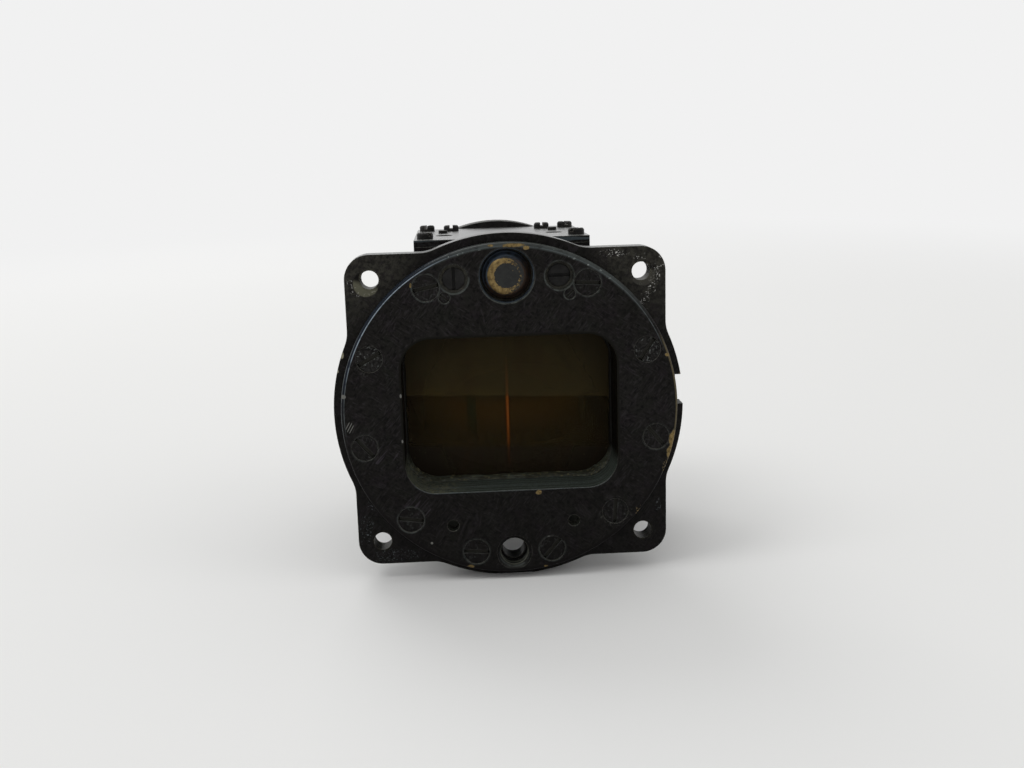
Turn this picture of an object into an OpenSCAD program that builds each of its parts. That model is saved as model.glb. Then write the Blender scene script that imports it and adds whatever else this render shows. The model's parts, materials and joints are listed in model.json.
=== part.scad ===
// Panel-mounted liquid-filled magnetic compass for an aircraft, 3 1/8 inch instrument size.
// X runs to the right of the face, Y into the panel, Z up.
// The origin is the middle of the flange's front face, where the panel seats.

/* [Panel flange] */
// Distance between neighbouring mounting holes
hole_spacing = 62.865; // [62:0.005:64]
// Diameter of the mounting holes
hole_d = 4.3; // [3.6:0.1:4.8]
// Radius of the flange's round outline
flange_r = 41.275; // [40.8:0.005:42]
// Width of the square whose corners are the mounting lobes
flange_square = 74.4; // [73:0.1:76]
// Height of the short flat under the flange, above the centre
flange_foot_z = -41; // [-41.1:0.05:-40.6]
// Thickness of the flange
flange_t = 5; // [4.6:0.1:6]
// Radius of the hollow where a lobe meets the round outline
lobe_fillet = 8; // [5:0.5:12]
// Height of the locating notch in the right edge
notch_h = 7.1; // [5:0.1:9]
// Depth of the locating notch
notch_depth = 1.9; // [1:0.1:1.9]
// Height of the locating notch's middle above the centre
notch_z = 3.1; // [-2:0.1:6]

/* [Bezel] */
// Radius of the bezel
bezel_r = 39.3; // [38.9:0.1:39.6]
// Height of the bezel above the flange
bezel_t = 4.15; // [3.6:0.05:5]
// Radius of the rounded edge around the bezel
bezel_round = 0.65; // [0.4:0.05:0.7]
// Width of the window opening
window_w = 50; // [46:0.1:51]
// Height of the window opening
window_h = 36.7; // [34:0.1:37]
// Corner radius of the window opening
window_r = 7; // [5:0.5:8]
// Height of the window's middle above the centre
window_z = -0.55; // [-1:0.05:0]
// Wall of the frame that reaches in around the window
frame_wall = 2.2; // [1.8:0.1:2.4]
// Depth that the window frame reaches behind the flange's front face
frame_depth = 6.6; // [6:0.1:7.5]
// Radius of the circle of bezel screws
screw_circle_r = 34.9; // [34.6:0.1:35.2]
// Head diameter of the bezel screws
bezel_screw_head_d = 6; // [5:0.1:6.2]
// Shank diameter of the bezel screws
bezel_screw_d = 2.8; // [2.2:0.1:3.2]
// Length of the bezel screws
bezel_screw_l = 7.6; // [6:0.1:8]
// Straight rim of a bezel screw's head
bezel_screw_rim = 0.7; // [0.5:0.1:0.9]
// Width and depth of the bezel screws' slots
bezel_slot = 0.9; // [0.7:0.1:1]
// Sideways place of the small lock screws and the card-holder holes
small_hole_x = 14.35; // [14:0.05:14.8]
// Height of the small lock screws above the centre
lock_screw_z = 27.2; // [26.8:0.1:27.6]
// Diameter of the small lock screws
lock_screw_d = 2.4; // [2:0.1:2.6]
// Depth of the card-holder holes and the lock screws
small_hole_depth = 3.2; // [2.5:0.1:3.4]
// Diameter of the card-holder holes
holder_hole_d = 2.8; // [2.2:0.1:3.2]
// Height of the card-holder holes above the centre
holder_hole_z = -27; // [-28:0.1:-26.5]
// Height of the lower port above the centre
port_z = -34.3; // [-34.4:0.05:-34]
// Diameter of the lower port in the bezel
port_d = 6.6; // [6:0.1:7]
// Diameter of the lower port in the flange
port_inner_d = 5.4; // [4.8:0.1:5.8]
// Width of the chamfer at the port's mouth
port_chamfer = 0.9; // [0.4:0.1:1]

/* [Glass] */
// Thickness of the window glass
glass_t = 3; // [2.4:0.1:3.4]
// Thickness of each glass gasket
gasket_t = 0.6; // [0.4:0.1:0.8]
// Thickness of the ledge that the glass seats against
ledge_t = 2.2; // [2:0.1:3]
// Width of the ledge around the opening
ledge_w = 2; // [1.5:0.1:2.2]
// Diameter of the lubber line's wire
lubber_d = 0.9; // [0.6:0.05:1]
// Length of wire held in the ledge at each end
lubber_seat = 1.4; // [1:0.1:1.5]

/* [Lamp] */
// Height of the lamp's axis above the centre
lamp_z = 31.8; // [31.6:0.05:31.9]
// Diameter of the recess around the lamp cap
lamp_recess_d = 12.3; // [12:0.1:12.5]
// Width of the chamfer around the lamp's recess
recess_chamfer = 0.35; // [0.1:0.05:0.4]
// Diameter of the lamp cap's front disc
cap_disc_d = 8.8; // [8:0.1:9]
// Diameter of the lamp cap's shoulder
cap_shoulder_d = 11.4; // [11:0.1:11.6]
// Diameter of the lamp cap's shank
cap_shank_d = 9.2; // [8.8:0.1:9.4]
// Height of the lamp cap's disc above the bezel
cap_proud = 0.15; // [0:0.05:0.6]
// Wall of the lamp socket
socket_wall = 0.95; // [0.7:0.05:1]
// Diameter of the bulb's base
bulb_base_d = 6.4; // [6:0.1:6.6]
// Diameter of the bulb's glass
bulb_glass_d = 5.4; // [4.8:0.1:5.6]
// Diameter of the light window above the card
light_window_d = 4.4; // [3.8:0.1:4.6]
// Thickness of the light window
light_window_t = 1.6; // [1.2:0.1:1.8]

/* [Adjusters] */
// Sideways distance of each adjuster from the middle
adjuster_x = 12.07; // [12:0.01:12.15]
// Height of the adjusters above the centre
adjuster_z = 31.4; // [31.3:0.05:31.5]
// Diameter of the holes in the bezel
adjuster_hole_d = 6.4; // [6:0.1:6.5]
// Width of the chamfer around the adjusters' holes
adjuster_chamfer = 0.2; // [0.1:0.05:0.25]
// Diameter of the slotted heads
adjuster_head_d = 5.1; // [4.8:0.1:5.2]
// Diameter of the shafts
adjuster_shaft_d = 3; // [2.6:0.1:3.2]
// Depth of the left slotted head below the bezel's face
left_head_depth = 0.7; // [0.3:0.1:1.5]
// Depth of the right slotted head below the bezel's face
right_head_depth = 1.6; // [0.3:0.1:2]
// Outer diameter of the bearing bushes
bush_d = 5.2; // [5:0.1:5.4]
// Thickness of the retaining clips
clip_t = 0.6; // [0.4:0.1:0.8]

/* [Compensator] */
// Half width of the compensator box
box_half_w = 21.4; // [21:0.1:22]
// Depth of the box's front face behind the flange's front face
box_y = 15; // [14.6:0.1:15.6]
// Wall of the box
box_wall = 2; // [1.8:0.1:2.4]
// Height of the box's top, cover included, above the centre
box_top_z = 39; // [38.8:0.1:39.6]
// Thickness of the cover
cover_t = 1.6; // [1.2:0.1:1.7]
// Height of the box's floor above the centre
box_floor_z = 25; // [24.9:0.05:25.2]
// Head diameter of the cover screws
cover_screw_head_d = 4; // [3.6:0.1:4.4]
// Head height of the cover screws
cover_screw_head_h = 1.5; // [1.2:0.1:1.8]
// Shank diameter of the cover screws
cover_screw_d = 2; // [1.6:0.1:2.2]
// Length of the corner screws
cover_screw_l = 7; // [5:0.5:8]
// Width of the slots in the screws with raised heads
head_slot_w = 0.8; // [0.5:0.1:0.9]
// Inset of the corner screws from the box's sides
corner_screw_inset = 2.7; // [2.5:0.1:3]
// Distance of the front and rear corner screws from the box's ends
corner_screw_end = 5.5; // [5:0.1:6.5]
// Teeth of each magnet gear
gear_teeth = 24; // [20:2:26]
// Teeth of each adjuster pinion
pinion_teeth = 10; // [8:2:10]
// Module of the gears
gear_module = 0.46; // [0.42:0.01:0.47]
// Thickness of the magnet gears
gear_t = 1; // [0.7:0.05:1.05]
// Width of the toothed ring
gear_face = 0.9; // [0.7:0.05:1]
// Diameter of the studs that the gears turn on
stud_d = 1.5; // [1.2:0.1:1.8]
// Length of the compensating magnets
magnet_l = 13; // [11:0.1:13.4]
// Width of the compensating magnets
magnet_w = 2.6; // [2.2:0.1:3]
// Thickness of the compensating magnets
magnet_t = 1.3; // [1:0.05:1.35]
// Thickness of the bridge under the cover
bridge_t = 0.7; // [0.5:0.05:0.75]

/* [Fluid chamber] */
// Inner radius of the chamber
chamber_r = 26.5; // [26.3:0.05:26.6]
// Wall of the chamber
chamber_wall = 3; // [2.6:0.1:3]
// Height of the chamber's axis above the centre
chamber_z = -4; // [-4.05:0.05:-3.95]
// Depth of the rear flange's back face behind the front face
body_depth = 60; // [59.6:0.1:62]
// Thickness of the rear flange
rear_flange_t = 3.5; // [3:0.1:4]
// Radius of the rear flange's lower outline
rear_low_r = 36.6; // [36:0.1:37]
// Height of the short flat under the rear flange, above the centre
rear_foot_z = -40.35; // [-40.4:0.05:-40]
// Radius of the rear flange's upper outline
rear_high_r = 32; // [31:0.1:33]
// Height of the rear flange's top above the centre
rear_top_z = 40.8; // [40.4:0.1:41]
// Thickness of the rear gasket
rear_gasket_t = 0.6; // [0.4:0.1:1]
// Thickness of the rear cover's plate
rear_cover_t = 2.8; // [2.4:0.1:3.4]
// Outer radius of the rear cover's can
can_r = 27; // [26:0.1:28]
// Depth of the rear cover's can
can_depth = 10.4; // [8:0.1:12]
// Wall of the rear cover's can
can_wall = 1.6; // [1.2:0.1:2]
// Number of rear cover screws
rear_screw_count = 8; // [6:2:10]
// Radius of the circle of rear cover screws
rear_screw_circle_r = 32; // [31.6:0.1:32.6]
// Head diameter of the rear cover screws
rear_screw_head_d = 4.6; // [4:0.1:5]
// Shank diameter of the rear cover screws
rear_screw_d = 2.6; // [2.2:0.1:3]
// Head height of the rear cover screws
rear_screw_head_h = 1.8; // [1.4:0.1:2.2]
// Length of the rear cover screws in the rear flange
rear_screw_grip = 2.6; // [2:0.1:3]
// Diameter of the filler plug's thread
filler_d = 5; // [4.4:0.1:5.6]
// Diameter of the filler plug's head
filler_head_d = 8.4; // [8:0.1:9]
// Thickness of the filler plug's head
filler_head_t = 2.2; // [1.8:0.1:2.6]
// Length of the filler plug's shank
filler_l = 6; // [4:0.1:6.4]
// Thickness of the filler plug's washer
filler_washer_t = 0.6; // [0.4:0.1:0.8]

/* [Card] */
// Space between the card and each end of the chamber
card_gap = 2; // [1.9:0.1:2.6]
// Height of the card's ring
card_h = 12.9; // [12:0.1:13]
// Height of the card's top edge above the centre
card_top_z = 0.3; // [0:0.1:0.4]
// Wall of the card's ring
card_wall = 0.5; // [0.4:0.05:0.7]
// Height of the pivot point above the centre
pivot_z = -4; // [-4.2:0.05:-3.8]
// Radius of the pivot's hard tip
tip_r = 0.4; // [0.35:0.01:0.45]
// Diameter of the pivot pin
pin_d = 1.8; // [1.5:0.1:2]
// Outer radius of the float
float_r = 13; // [12:0.1:14]
// Height of the float above its base
float_h = 8; // [7:0.1:9]
// Wall of the float
float_wall = 0.4; // [0.3:0.05:0.5]
// Number of the spider's arms
spider_arms = 6; // [4:1:8]
// Distance of each card magnet from the card's axis
card_magnet_x = 7; // [6.8:0.1:7.4]
// Diameter of the card magnets
card_magnet_d = 2.4; // [2:0.1:2.5]
// Length of the card magnets
card_magnet_l = 26; // [22:0.5:28]

/* [Jewel post] */
// Outer diameter of the post
post_d = 4.6; // [4.4:0.1:4.8]
// Diameter of the jewel holder's shoulder
holder_d = 3.2; // [3:0.1:3.3]
// Diameter of the jewel holder's neck
neck_d = 2.4; // [2.3:0.1:2.5]
// Distance that the sprung jewel gives under a jolt
jewel_travel = 0.8; // [0.5:0.1:1]
// Diameter of the post's base
post_base_d = 13; // [12:0.1:14]
// Diameter of the jewel spring's wire
spring_wire_d = 0.34; // [0.28:0.02:0.4]
// Turns of the jewel spring
spring_turns = 5; // [4:1:6]

/* [Hidden] */
$fn = 72;

// Clearances: seated pieces, turning or sliding pieces, and the overshoot of a cut
seat_gap = 0.02;
run_gap = 0.05;
cut = 1;
// Space that a blind hole leaves past its screw's end
hole_spare = 0.4;

// Places on the circle of bezel screws, as degrees from the top, and how each slot lies
bezel_screw_places = [[-32, 12], [32, -3], [67, 55], [102, -50], [136, 86], [165, 50], [-165, -5],
  [-136, -8], [-102, -48], [-67, 30]];

glass_y = frame_depth + gasket_t;
glass_back_y = glass_y + glass_t;
ledge_y = glass_back_y + gasket_t;
chamber_y = ledge_y + ledge_t;
pocket_w = window_w + 2 * frame_wall + 2 * seat_gap;
pocket_h = window_h + 2 * frame_wall + 2 * seat_gap;
bezel_screw_sink = 0.1;
lock_screw_sink = 0.2;
lock_slot = 0.5;
window_box_wall = 2.6;
window_box_y = chamber_y + window_box_wall;
lubber_y = ledge_y + ledge_t / 2;
chamber_outer_r = chamber_r + chamber_wall;
rear_flange_y = body_depth - rear_flange_t;
box_inner_half_w = box_half_w - box_wall;
box_end_y = rear_flange_y;
cover_under_z = box_top_z - cover_t;
corner_x = box_half_w - corner_screw_inset;
rear_corner_inset = 1;
corner_ys = [box_y + corner_screw_end, box_end_y - corner_screw_end - rear_corner_inset];
corner_boss_r = 2.6;
card_y = (chamber_y + body_depth) / 2;
card_r = (body_depth - chamber_y) / 2 - card_gap;
bridge_screw_x = 12.2;
bridge_screw_inset = 2;
bridge_screw_at = [bridge_screw_x, corner_ys[1] - bridge_screw_inset];
bridge_dowel_x = 14.4;
bridge_dowel_back = 3;
bridge_dowel_at = [bridge_dowel_x, card_y + bridge_dowel_back];
bridge_dowel_d = 2.3;
bridge_dowel_proud = 0.75;
bridge_half_w = corner_x - corner_boss_r - 0.1;
bridge_end = 3;
cover_recess_x = 14;
cover_recess_forward = 5.75;
cover_recess_at = [cover_recess_x, (box_y + box_end_y) / 2 - cover_recess_forward];
cover_recess_d = 4.4;
cover_recess_depth = 0.8;

pitch_gear_r = gear_module * gear_teeth / 2;
pitch_pinion_r = gear_module * pinion_teeth / 2;
tooth_add = 0.65 * gear_module;
tooth_ded = 0.95 * gear_module;
gear_low_face = adjuster_z - pitch_pinion_r - tooth_ded;
gear_high_face = adjuster_z + pitch_pinion_r + tooth_ded;
gear_r = pitch_gear_r + gear_face / 2;
pinion_y = card_y - pitch_gear_r;
bridge_z = cover_under_z - bridge_t;
stud_seat = 1.15;
stud_collar = 0.9;

socket_r = cap_shank_d / 2 + run_gap + socket_wall;
socket_step_y = box_y - cut;
socket_small_r = bulb_base_d / 2 + run_gap + 0.7;
socket_end_y = box_y + 9;
cap_edge = 0.5;
cap_shoulder_y = -1.4;
cap_rest_gap = 0.15;
cap_skirt_end = socket_step_y - 1.2;
bulb_space = 0.3;
bulb_space_y = 3.4;
bulb_y = 4;
bulb_end_y = socket_end_y - 6;
bulb_base_end_y = socket_end_y - 2.4;
contact_y = socket_end_y - 1.85;
contact_r = 1;
contact_head_r = 1.5;
contact_head_t = 0.5;
contact_end_y = socket_end_y - 0.1;
insulator_y = socket_end_y - 1.5;
insulator_end_y = socket_end_y - 0.65;
lamp_boss_r = lamp_recess_d / 2 + 1.6;
lamp_back_boss_r = min(socket_small_r + 1.4, cover_under_z - lamp_z - 0.1);
light_shaft_w = light_window_d + 2.4;
light_y = box_y + 1.6;
light_z = chamber_z + chamber_r + 0.5;
bush_y = [flange_t, box_y + box_wall];
adjuster_boss_r = bush_d / 2 + 1.6;
clip_groove_y = bush_y[1] + run_gap;

spider_z = pivot_z - 2.5;
spider_t = 0.5;
dome_z = spider_z + spider_t;
dome_top_z = dome_z + float_h;
well_low_r = 5;
well_high_r = 4.1;
well_h = 3.6;
hub_r = 1.7;
hub_z = pivot_z + 1.3;
card_magnet_z = spider_z - card_magnet_d / 2 - 0.35;
post_base_z = chamber_z - chamber_r + 2;
post_top_z = pivot_z - 2.25;
post_base_t = 2;
bore_depth = 9;
stone_r = 0.85;
stone_top = pivot_z - 0.2;
stone_h = 0.9;
cap_lip = 0.8;
cap_wall = 0.6;
cap_skirt = 2;
post_screw_x = 4.4;
post_screw_d = 1.6;
post_screw_head_d = 2.4;
post_screw_head_h = 1;
post_screw_grip = 1.4;
post_screw_slot = 30;

rear_high_z = rear_top_z - rear_high_r;
rear_cover_y = body_depth + rear_gasket_t;
rear_plate_y = rear_cover_y + rear_cover_t;
can_y = rear_cover_y + can_depth;
can_bevel = 1.5;
diaphragm_t = 0.25;
diaphragm_r = can_r + 1.2;
filler_y = card_y - 2;
filler_boss_r = filler_head_d / 2 + 0.6;
filler_face_x = chamber_outer_r + 2;

// Extrudes a face outline (x to the right, y up) from one depth to another
module plate(y0, y1) translate([0, y1, 0]) rotate([90, 0, 0]) linear_extrude(y1 - y0) children();

// A round bar along the depth axis
module bar(x, z, r, y0, y1) translate([x, y0, z]) rotate([-90, 0, 0]) cylinder(r = r, h = y1 - y0);

// A shape turned about a depth axis, from points of radius and depth
module turned(x, z, points) translate([x, 0, z]) rotate([-90, 0, 0]) rotate_extrude() polygon(points);

// A shape turned about an upright axis, from points of radius and height
module spun(x, y, points) translate([x, y, 0]) rotate_extrude() polygon(points);

module rounded(w, h, r) {
  square([w - 2 * r, h], center = true);
  square([w, h - 2 * r], center = true);
  for (x = [-1, 1], y = [-1, 1]) translate([x * (w / 2 - r), y * (h / 2 - r)]) circle(r);
}

module both_sides() for (side = [-1, 1]) scale([side, 1, 1]) children();

// Outlines of the face and the rear

module lobe_blend() {
  half = flange_square / 2;
  reach = flange_r + lobe_fillet;
  along = sqrt(reach * reach - (half + lobe_fillet) * (half + lobe_fillet));
  touch = flange_r / reach;
  difference() {
    polygon([[half - cut, along], [half, along], [half + lobe_fillet, along],
      [(half + lobe_fillet) * touch, along * touch], [half - cut, along * touch - cut]]);
    translate([half + lobe_fillet, along]) circle(lobe_fillet);
  }
}

module flange_plate() {
  plate(0, flange_t) circle(flange_r, $fn = 144);
  plate(0, flange_t) rounded(flange_square, flange_square, (flange_square - hole_spacing) / 2);
  for (x = [0, 1], z = [0, 1]) mirror([x, 0, 0]) mirror([0, 0, z]) {
    plate(0, flange_t) lobe_blend();
    mirror([1, 0, -1]) plate(0, flange_t) lobe_blend();
  }
}

module window_outline(grow = 0) translate([0, window_z])
  rounded(window_w + 2 * grow, window_h + 2 * grow, window_r + grow);

module rear_outline() {
  drop = rear_high_z - chamber_z;
  lean = asin((rear_low_r - rear_high_r) / drop);
  translate([0, rear_high_z]) circle(rear_high_r);
  translate([0, chamber_z]) circle(rear_low_r);
  polygon([for (s = [-1, 1], low = [0, 1])
    let (right = s > 0, use_low = right ? low == 0 : low == 1)
    [s * (use_low ? rear_low_r : rear_high_r) * cos(lean),
     (use_low ? chamber_z + rear_low_r * sin(lean) : rear_high_z + rear_high_r * sin(lean))]]);
}

// What is cut off under the rear outline to leave its short flat
module rear_foot_cut() translate([-rear_low_r, rear_flange_y - cut, rear_foot_z - rear_low_r])
  cube([2 * rear_low_r, can_y - rear_flange_y, rear_low_r]);

// Screws point into the part along the depth axis, with the head's face at depth 0

module slot(head_d, width, depth, angle) rotate([0, -angle, 0])
  translate([-head_d, -cut, -width / 2]) cube([2 * head_d, cut + depth, width]);

module countersunk_screw(head_d, rim, d, l, slot_w, angle) difference() {
  rotate([-90, 0, 0]) rotate_extrude() polygon([[0, 0], [head_d / 2, 0], [head_d / 2, rim],
    [d / 2, rim + (head_d - d) / 2], [d / 2, l], [0, l]]);
  slot(head_d, slot_w, slot_w, angle);
}

module fillister_screw(head_d, head_h, d, l, angle) difference() {
  rotate([-90, 0, 0]) rotate_extrude() polygon([[0, -head_h], [head_d / 2 - 0.3, -head_h],
    [head_d / 2, -head_h + 0.4], [head_d / 2, 0], [d / 2, 0], [d / 2, l], [0, l]]);
  translate([0, -head_h, 0]) slot(head_d, head_slot_w, head_h * 0.55, angle);
}

module place_bezel_screws() for (p = bezel_screw_places)
  translate([screw_circle_r * sin(p[0]), -bezel_t + bezel_screw_sink, screw_circle_r * cos(p[0])]) {
    $slot_angle = p[1];
    children();
  }

module place_rear_screws() for (i = [0:rear_screw_count - 1]) {
  a = (i + 0.5) * 360 / rear_screw_count;
  translate([rear_screw_circle_r * sin(a), rear_plate_y, chamber_z + rear_screw_circle_r * cos(a)])
    rotate([0, 0, 180]) {
      $slot_angle = 37 * i;
      children();
    }
}

// Cover screws point down, from the cover's top face
module place_on_cover(x, y) translate([x, y, box_top_z]) rotate([-90, 0, 0]) children();

// Case, bezel and glass

module case_body() {
  plate(flange_t, window_box_y) translate([0, window_z])
    rounded(pocket_w + 2 * window_box_wall, pocket_h + 2 * window_box_wall, window_r + frame_wall);
  bar(0, chamber_z, chamber_outer_r, flange_t, rear_flange_y);
  translate([-box_half_w, box_y, chamber_z]) cube([2 * box_half_w, box_end_y - box_y, cover_under_z - chamber_z]);
  bar(0, lamp_z, lamp_boss_r, flange_t, box_y);
  both_sides() bar(adjuster_x, adjuster_z, adjuster_boss_r, flange_t, box_y + cut);
  translate([0, filler_y, chamber_z]) rotate([0, 90, 0]) cylinder(r = filler_boss_r, h = filler_face_x);
}

module box_space() difference() {
  translate([-box_inner_half_w, box_y + box_wall, box_floor_z])
    cube([2 * box_inner_half_w, box_end_y - box_y - 2 * box_wall, cover_under_z - box_floor_z + cut]);
  both_sides() for (y = corner_ys) translate([corner_x, y, 0]) cylinder(r = corner_boss_r, h = box_top_z);
  bar(0, lamp_z, lamp_back_boss_r, box_y, socket_end_y + box_wall);
  translate([-light_shaft_w / 2, box_y, box_floor_z - cut])
    cube([light_shaft_w, light_y + light_shaft_w / 2 - box_y, lamp_z - box_floor_z + cut]);
}

// What is cut through the front of the case: the window, the lamp, the adjusters and the lubber line's seat
module front_cuts() {
  plate(-cut, ledge_y) window_outline(frame_wall + seat_gap);
  plate(0, chamber_y + cut) window_outline(frame_wall - ledge_w);
  bar(0, lamp_z, socket_r + seat_gap, -cut, socket_step_y);
  bar(0, lamp_z, socket_small_r + seat_gap, 0, socket_end_y);
  both_sides() bar(adjuster_x, adjuster_z, bush_d / 2 + seat_gap, -cut, bush_y[1] + cut);
  translate([0, lubber_y, window_z - window_h / 2 - ledge_w - lubber_seat])
    cylinder(d = lubber_d + 2 * seat_gap, h = window_h + 2 * ledge_w + 2 * lubber_seat);
}

module rear_screw_holes() place_rear_screws() rotate([-90, 0, 0])
  cylinder(d = rear_screw_d + 2 * seat_gap, h = rear_plate_y - rear_flange_y + cut);

module mounting_flange() color([0.07, 0.07, 0.08]) difference() {
  union() flange_plate();
  front_cuts();
  for (x = [-1, 1], z = [-1, 1]) bar(x * hole_spacing / 2, z * hole_spacing / 2, hole_d / 2, -cut, flange_t + cut);
  translate([-flange_r, -cut, flange_foot_z - flange_r]) cube([2 * flange_r, flange_t + 2 * cut, flange_r]);
  translate([flange_r - notch_depth, -cut, notch_z - notch_h / 2])
    cube([2 * notch_depth, flange_t + 2 * cut, notch_h]);
  place_bezel_screws() rotate([-90, 0, 0]) cylinder(d = bezel_screw_d + 2 * seat_gap, h = bezel_screw_l + hole_spare);
  bar(0, port_z, port_inner_d / 2, -cut, flange_t + cut);
}

module case_casting() color([0.07, 0.07, 0.08]) difference() {
  union() {
    difference() {
      case_body();
      bar(0, chamber_z, chamber_r, chamber_y, body_depth);
    }
    intersection() {
      translate([0, card_y, chamber_z - chamber_r - cut])
        cylinder(d = post_base_d, h = post_base_z - chamber_z + chamber_r + cut);
      bar(0, chamber_z, chamber_r + cut, chamber_y, rear_flange_y);
    }
  }
  front_cuts();
  box_space();
  translate([0, light_y, chamber_z]) cylinder(d = light_window_d + 2 * seat_gap, h = lamp_z - chamber_z);
  both_sides() {
    for (y = corner_ys) place_on_cover(corner_x, y) rotate([-90, 0, 0])
      cylinder(d = cover_screw_d + 2 * seat_gap, h = cover_screw_l + cut);
    translate([post_screw_x, card_y, post_base_z - post_screw_grip - hole_spare])
      cylinder(d = post_screw_d + 2 * seat_gap, h = post_screw_grip + hole_spare + cut);
    translate([adjuster_x, card_y, box_floor_z - stud_seat - run_gap])
      cylinder(d = stud_d + 2 * seat_gap, h = stud_seat + run_gap + cut);
  }
  translate([0, filler_y, chamber_z]) rotate([0, 90, 0])
    cylinder(d = filler_d + 2 * seat_gap, h = filler_face_x + cut);
}

module rear_flange() color([0.07, 0.07, 0.08]) difference() {
  plate(rear_flange_y, body_depth) rear_outline();
  bar(0, chamber_z, chamber_r, rear_flange_y - cut, body_depth + cut);
  rear_screw_holes();
  rear_foot_cut();
}

// What is cut through the bezel for a hole with a chamfered mouth
module bezel_hole(x, z, d, chamfer) turned(x, z, [[0, -bezel_t - cut], [d / 2 + chamfer + cut, -bezel_t - cut],
  [d / 2, -bezel_t + chamfer], [d / 2, cut], [0, cut]]);

module bezel_ring() color([0.06, 0.06, 0.07]) difference() {
  turned(0, 0, concat([[0, 0], [0, -bezel_t]],
    [for (a = [0:30:90]) [bezel_r - bezel_round * (1 - sin(a)), -bezel_t + bezel_round * (1 - cos(a))]],
    [[bezel_r, 0]]), $fn = 144);
  plate(-bezel_t - cut, cut) window_outline();
  bezel_hole(0, lamp_z, lamp_recess_d, recess_chamfer);
  both_sides() bezel_hole(adjuster_x, adjuster_z, adjuster_hole_d, adjuster_chamfer);
  bezel_hole(0, port_z, port_d, port_chamfer);
  place_bezel_screws() rotate([-90, 0, 0]) {
    translate([0, 0, -cut]) cylinder(d = bezel_screw_head_d + 2 * run_gap, h = cut + bezel_screw_rim);
    translate([0, 0, bezel_screw_rim]) cylinder(d1 = bezel_screw_head_d + 2 * run_gap,
      d2 = bezel_screw_d + 2 * run_gap, h = (bezel_screw_head_d - bezel_screw_d) / 2);
    cylinder(d = bezel_screw_d + 2 * run_gap, h = bezel_t + cut);
  }
  for (x = [-1, 1]) {
    bar(x * small_hole_x, lock_screw_z, lock_screw_d / 2 + run_gap, -bezel_t - cut, -bezel_t + small_hole_depth);
    bar(x * small_hole_x, holder_hole_z, holder_hole_d / 2, -bezel_t - cut, -bezel_t + small_hole_depth);
  }
}

module window_frame() color([0.06, 0.06, 0.07]) plate(0, frame_depth) difference() {
  window_outline(frame_wall);
  window_outline();
}

module bezel_screws() color([0.16, 0.15, 0.14]) place_bezel_screws()
  countersunk_screw(bezel_screw_head_d, bezel_screw_rim, bezel_screw_d, bezel_screw_l, bezel_slot, $slot_angle);

module lock_screws() color([0.2, 0.19, 0.18]) both_sides()
  translate([small_hole_x, -bezel_t + lock_screw_sink, lock_screw_z]) difference() {
    rotate([-90, 0, 0]) cylinder(d = lock_screw_d, h = small_hole_depth - lock_screw_sink - seat_gap);
    slot(lock_screw_d, lock_slot, lock_slot, 40);
  }

module glass_gasket(y) plate(y, y + gasket_t) difference() {
  window_outline(frame_wall);
  window_outline();
}

module glass_front_gasket() color([0.1, 0.1, 0.07]) glass_gasket(frame_depth);

module glass_rear_gasket() color([0.1, 0.1, 0.07]) glass_gasket(glass_back_y);

module window_glass() color([0.6, 0.55, 0.35, 0.35]) plate(glass_y, glass_back_y) window_outline(frame_wall);

module lubber_line() color([0.75, 0.35, 0.1])
  translate([0, lubber_y, window_z - window_h / 2 - ledge_w / 2 - lubber_seat / 2])
    cylinder(d = lubber_d, h = window_h + ledge_w + lubber_seat);

// Lamp

module lamp_socket() color([0.6, 0.5, 0.3]) difference() {
  turned(0, lamp_z, [[cap_shank_d / 2 + run_gap, 0], [socket_r, 0], [socket_r, socket_step_y - seat_gap],
    [socket_small_r, socket_step_y - seat_gap], [socket_small_r, socket_end_y - seat_gap],
    [bulb_base_d / 2 + run_gap, socket_end_y - seat_gap], [bulb_base_d / 2 + run_gap, socket_step_y - 1],
    [cap_shank_d / 2 + run_gap, socket_step_y - 1]]);
  translate([0, light_y, lamp_z - socket_r - cut]) cylinder(d = light_window_d, h = socket_r + cut);
}

module lamp_cap() color([0.09, 0.08, 0.08]) {
  face = -bezel_t - cap_proud;
  turned(0, lamp_z, [[0, face], [cap_disc_d / 2 - cap_edge, face], [cap_disc_d / 2, face + cap_edge],
    [cap_disc_d / 2, face + 2 * cap_edge], [cap_shoulder_d / 2, cap_shoulder_y], [cap_shoulder_d / 2, -cap_rest_gap],
    [cap_shank_d / 2, -cap_rest_gap], [cap_shank_d / 2, cap_skirt_end],
    [bulb_glass_d / 2 + bulb_space, cap_skirt_end], [bulb_glass_d / 2 + bulb_space, bulb_space_y], [0, bulb_space_y]]);
}

module bulb_glass() color([0.9, 0.88, 0.8, 0.4]) {
  r = bulb_glass_d / 2;
  turned(0, lamp_z, [[0, bulb_y], for (a = [15:15:90]) [r * sin(a), bulb_y + r * (1 - cos(a))],
    [r, bulb_end_y], [0, bulb_end_y]]);
}

module bulb_base() color([0.72, 0.6, 0.35]) {
  r = bulb_base_d / 2;
  back = bulb_base_end_y;
  turned(0, lamp_z, [[0, bulb_end_y], [r, bulb_end_y], [r, back - 0.8], [r - 0.8, back], [0.9, back],
    [0.7, back + 0.5], [0, back + 0.5]]);
}

module lamp_contact() color([0.75, 0.62, 0.35])
  turned(0, lamp_z, [[0, contact_y], [contact_r, contact_y], [contact_r, contact_end_y - contact_head_t],
    [contact_head_r, contact_end_y - contact_head_t], [contact_head_r, contact_end_y], [0, contact_end_y]]);

module contact_insulator() color([0.35, 0.22, 0.12])
  turned(0, lamp_z, [[contact_r + seat_gap, insulator_y], [bulb_base_d / 2, insulator_y],
    [bulb_base_d / 2, insulator_end_y], [contact_r + seat_gap, insulator_end_y]]);

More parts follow.
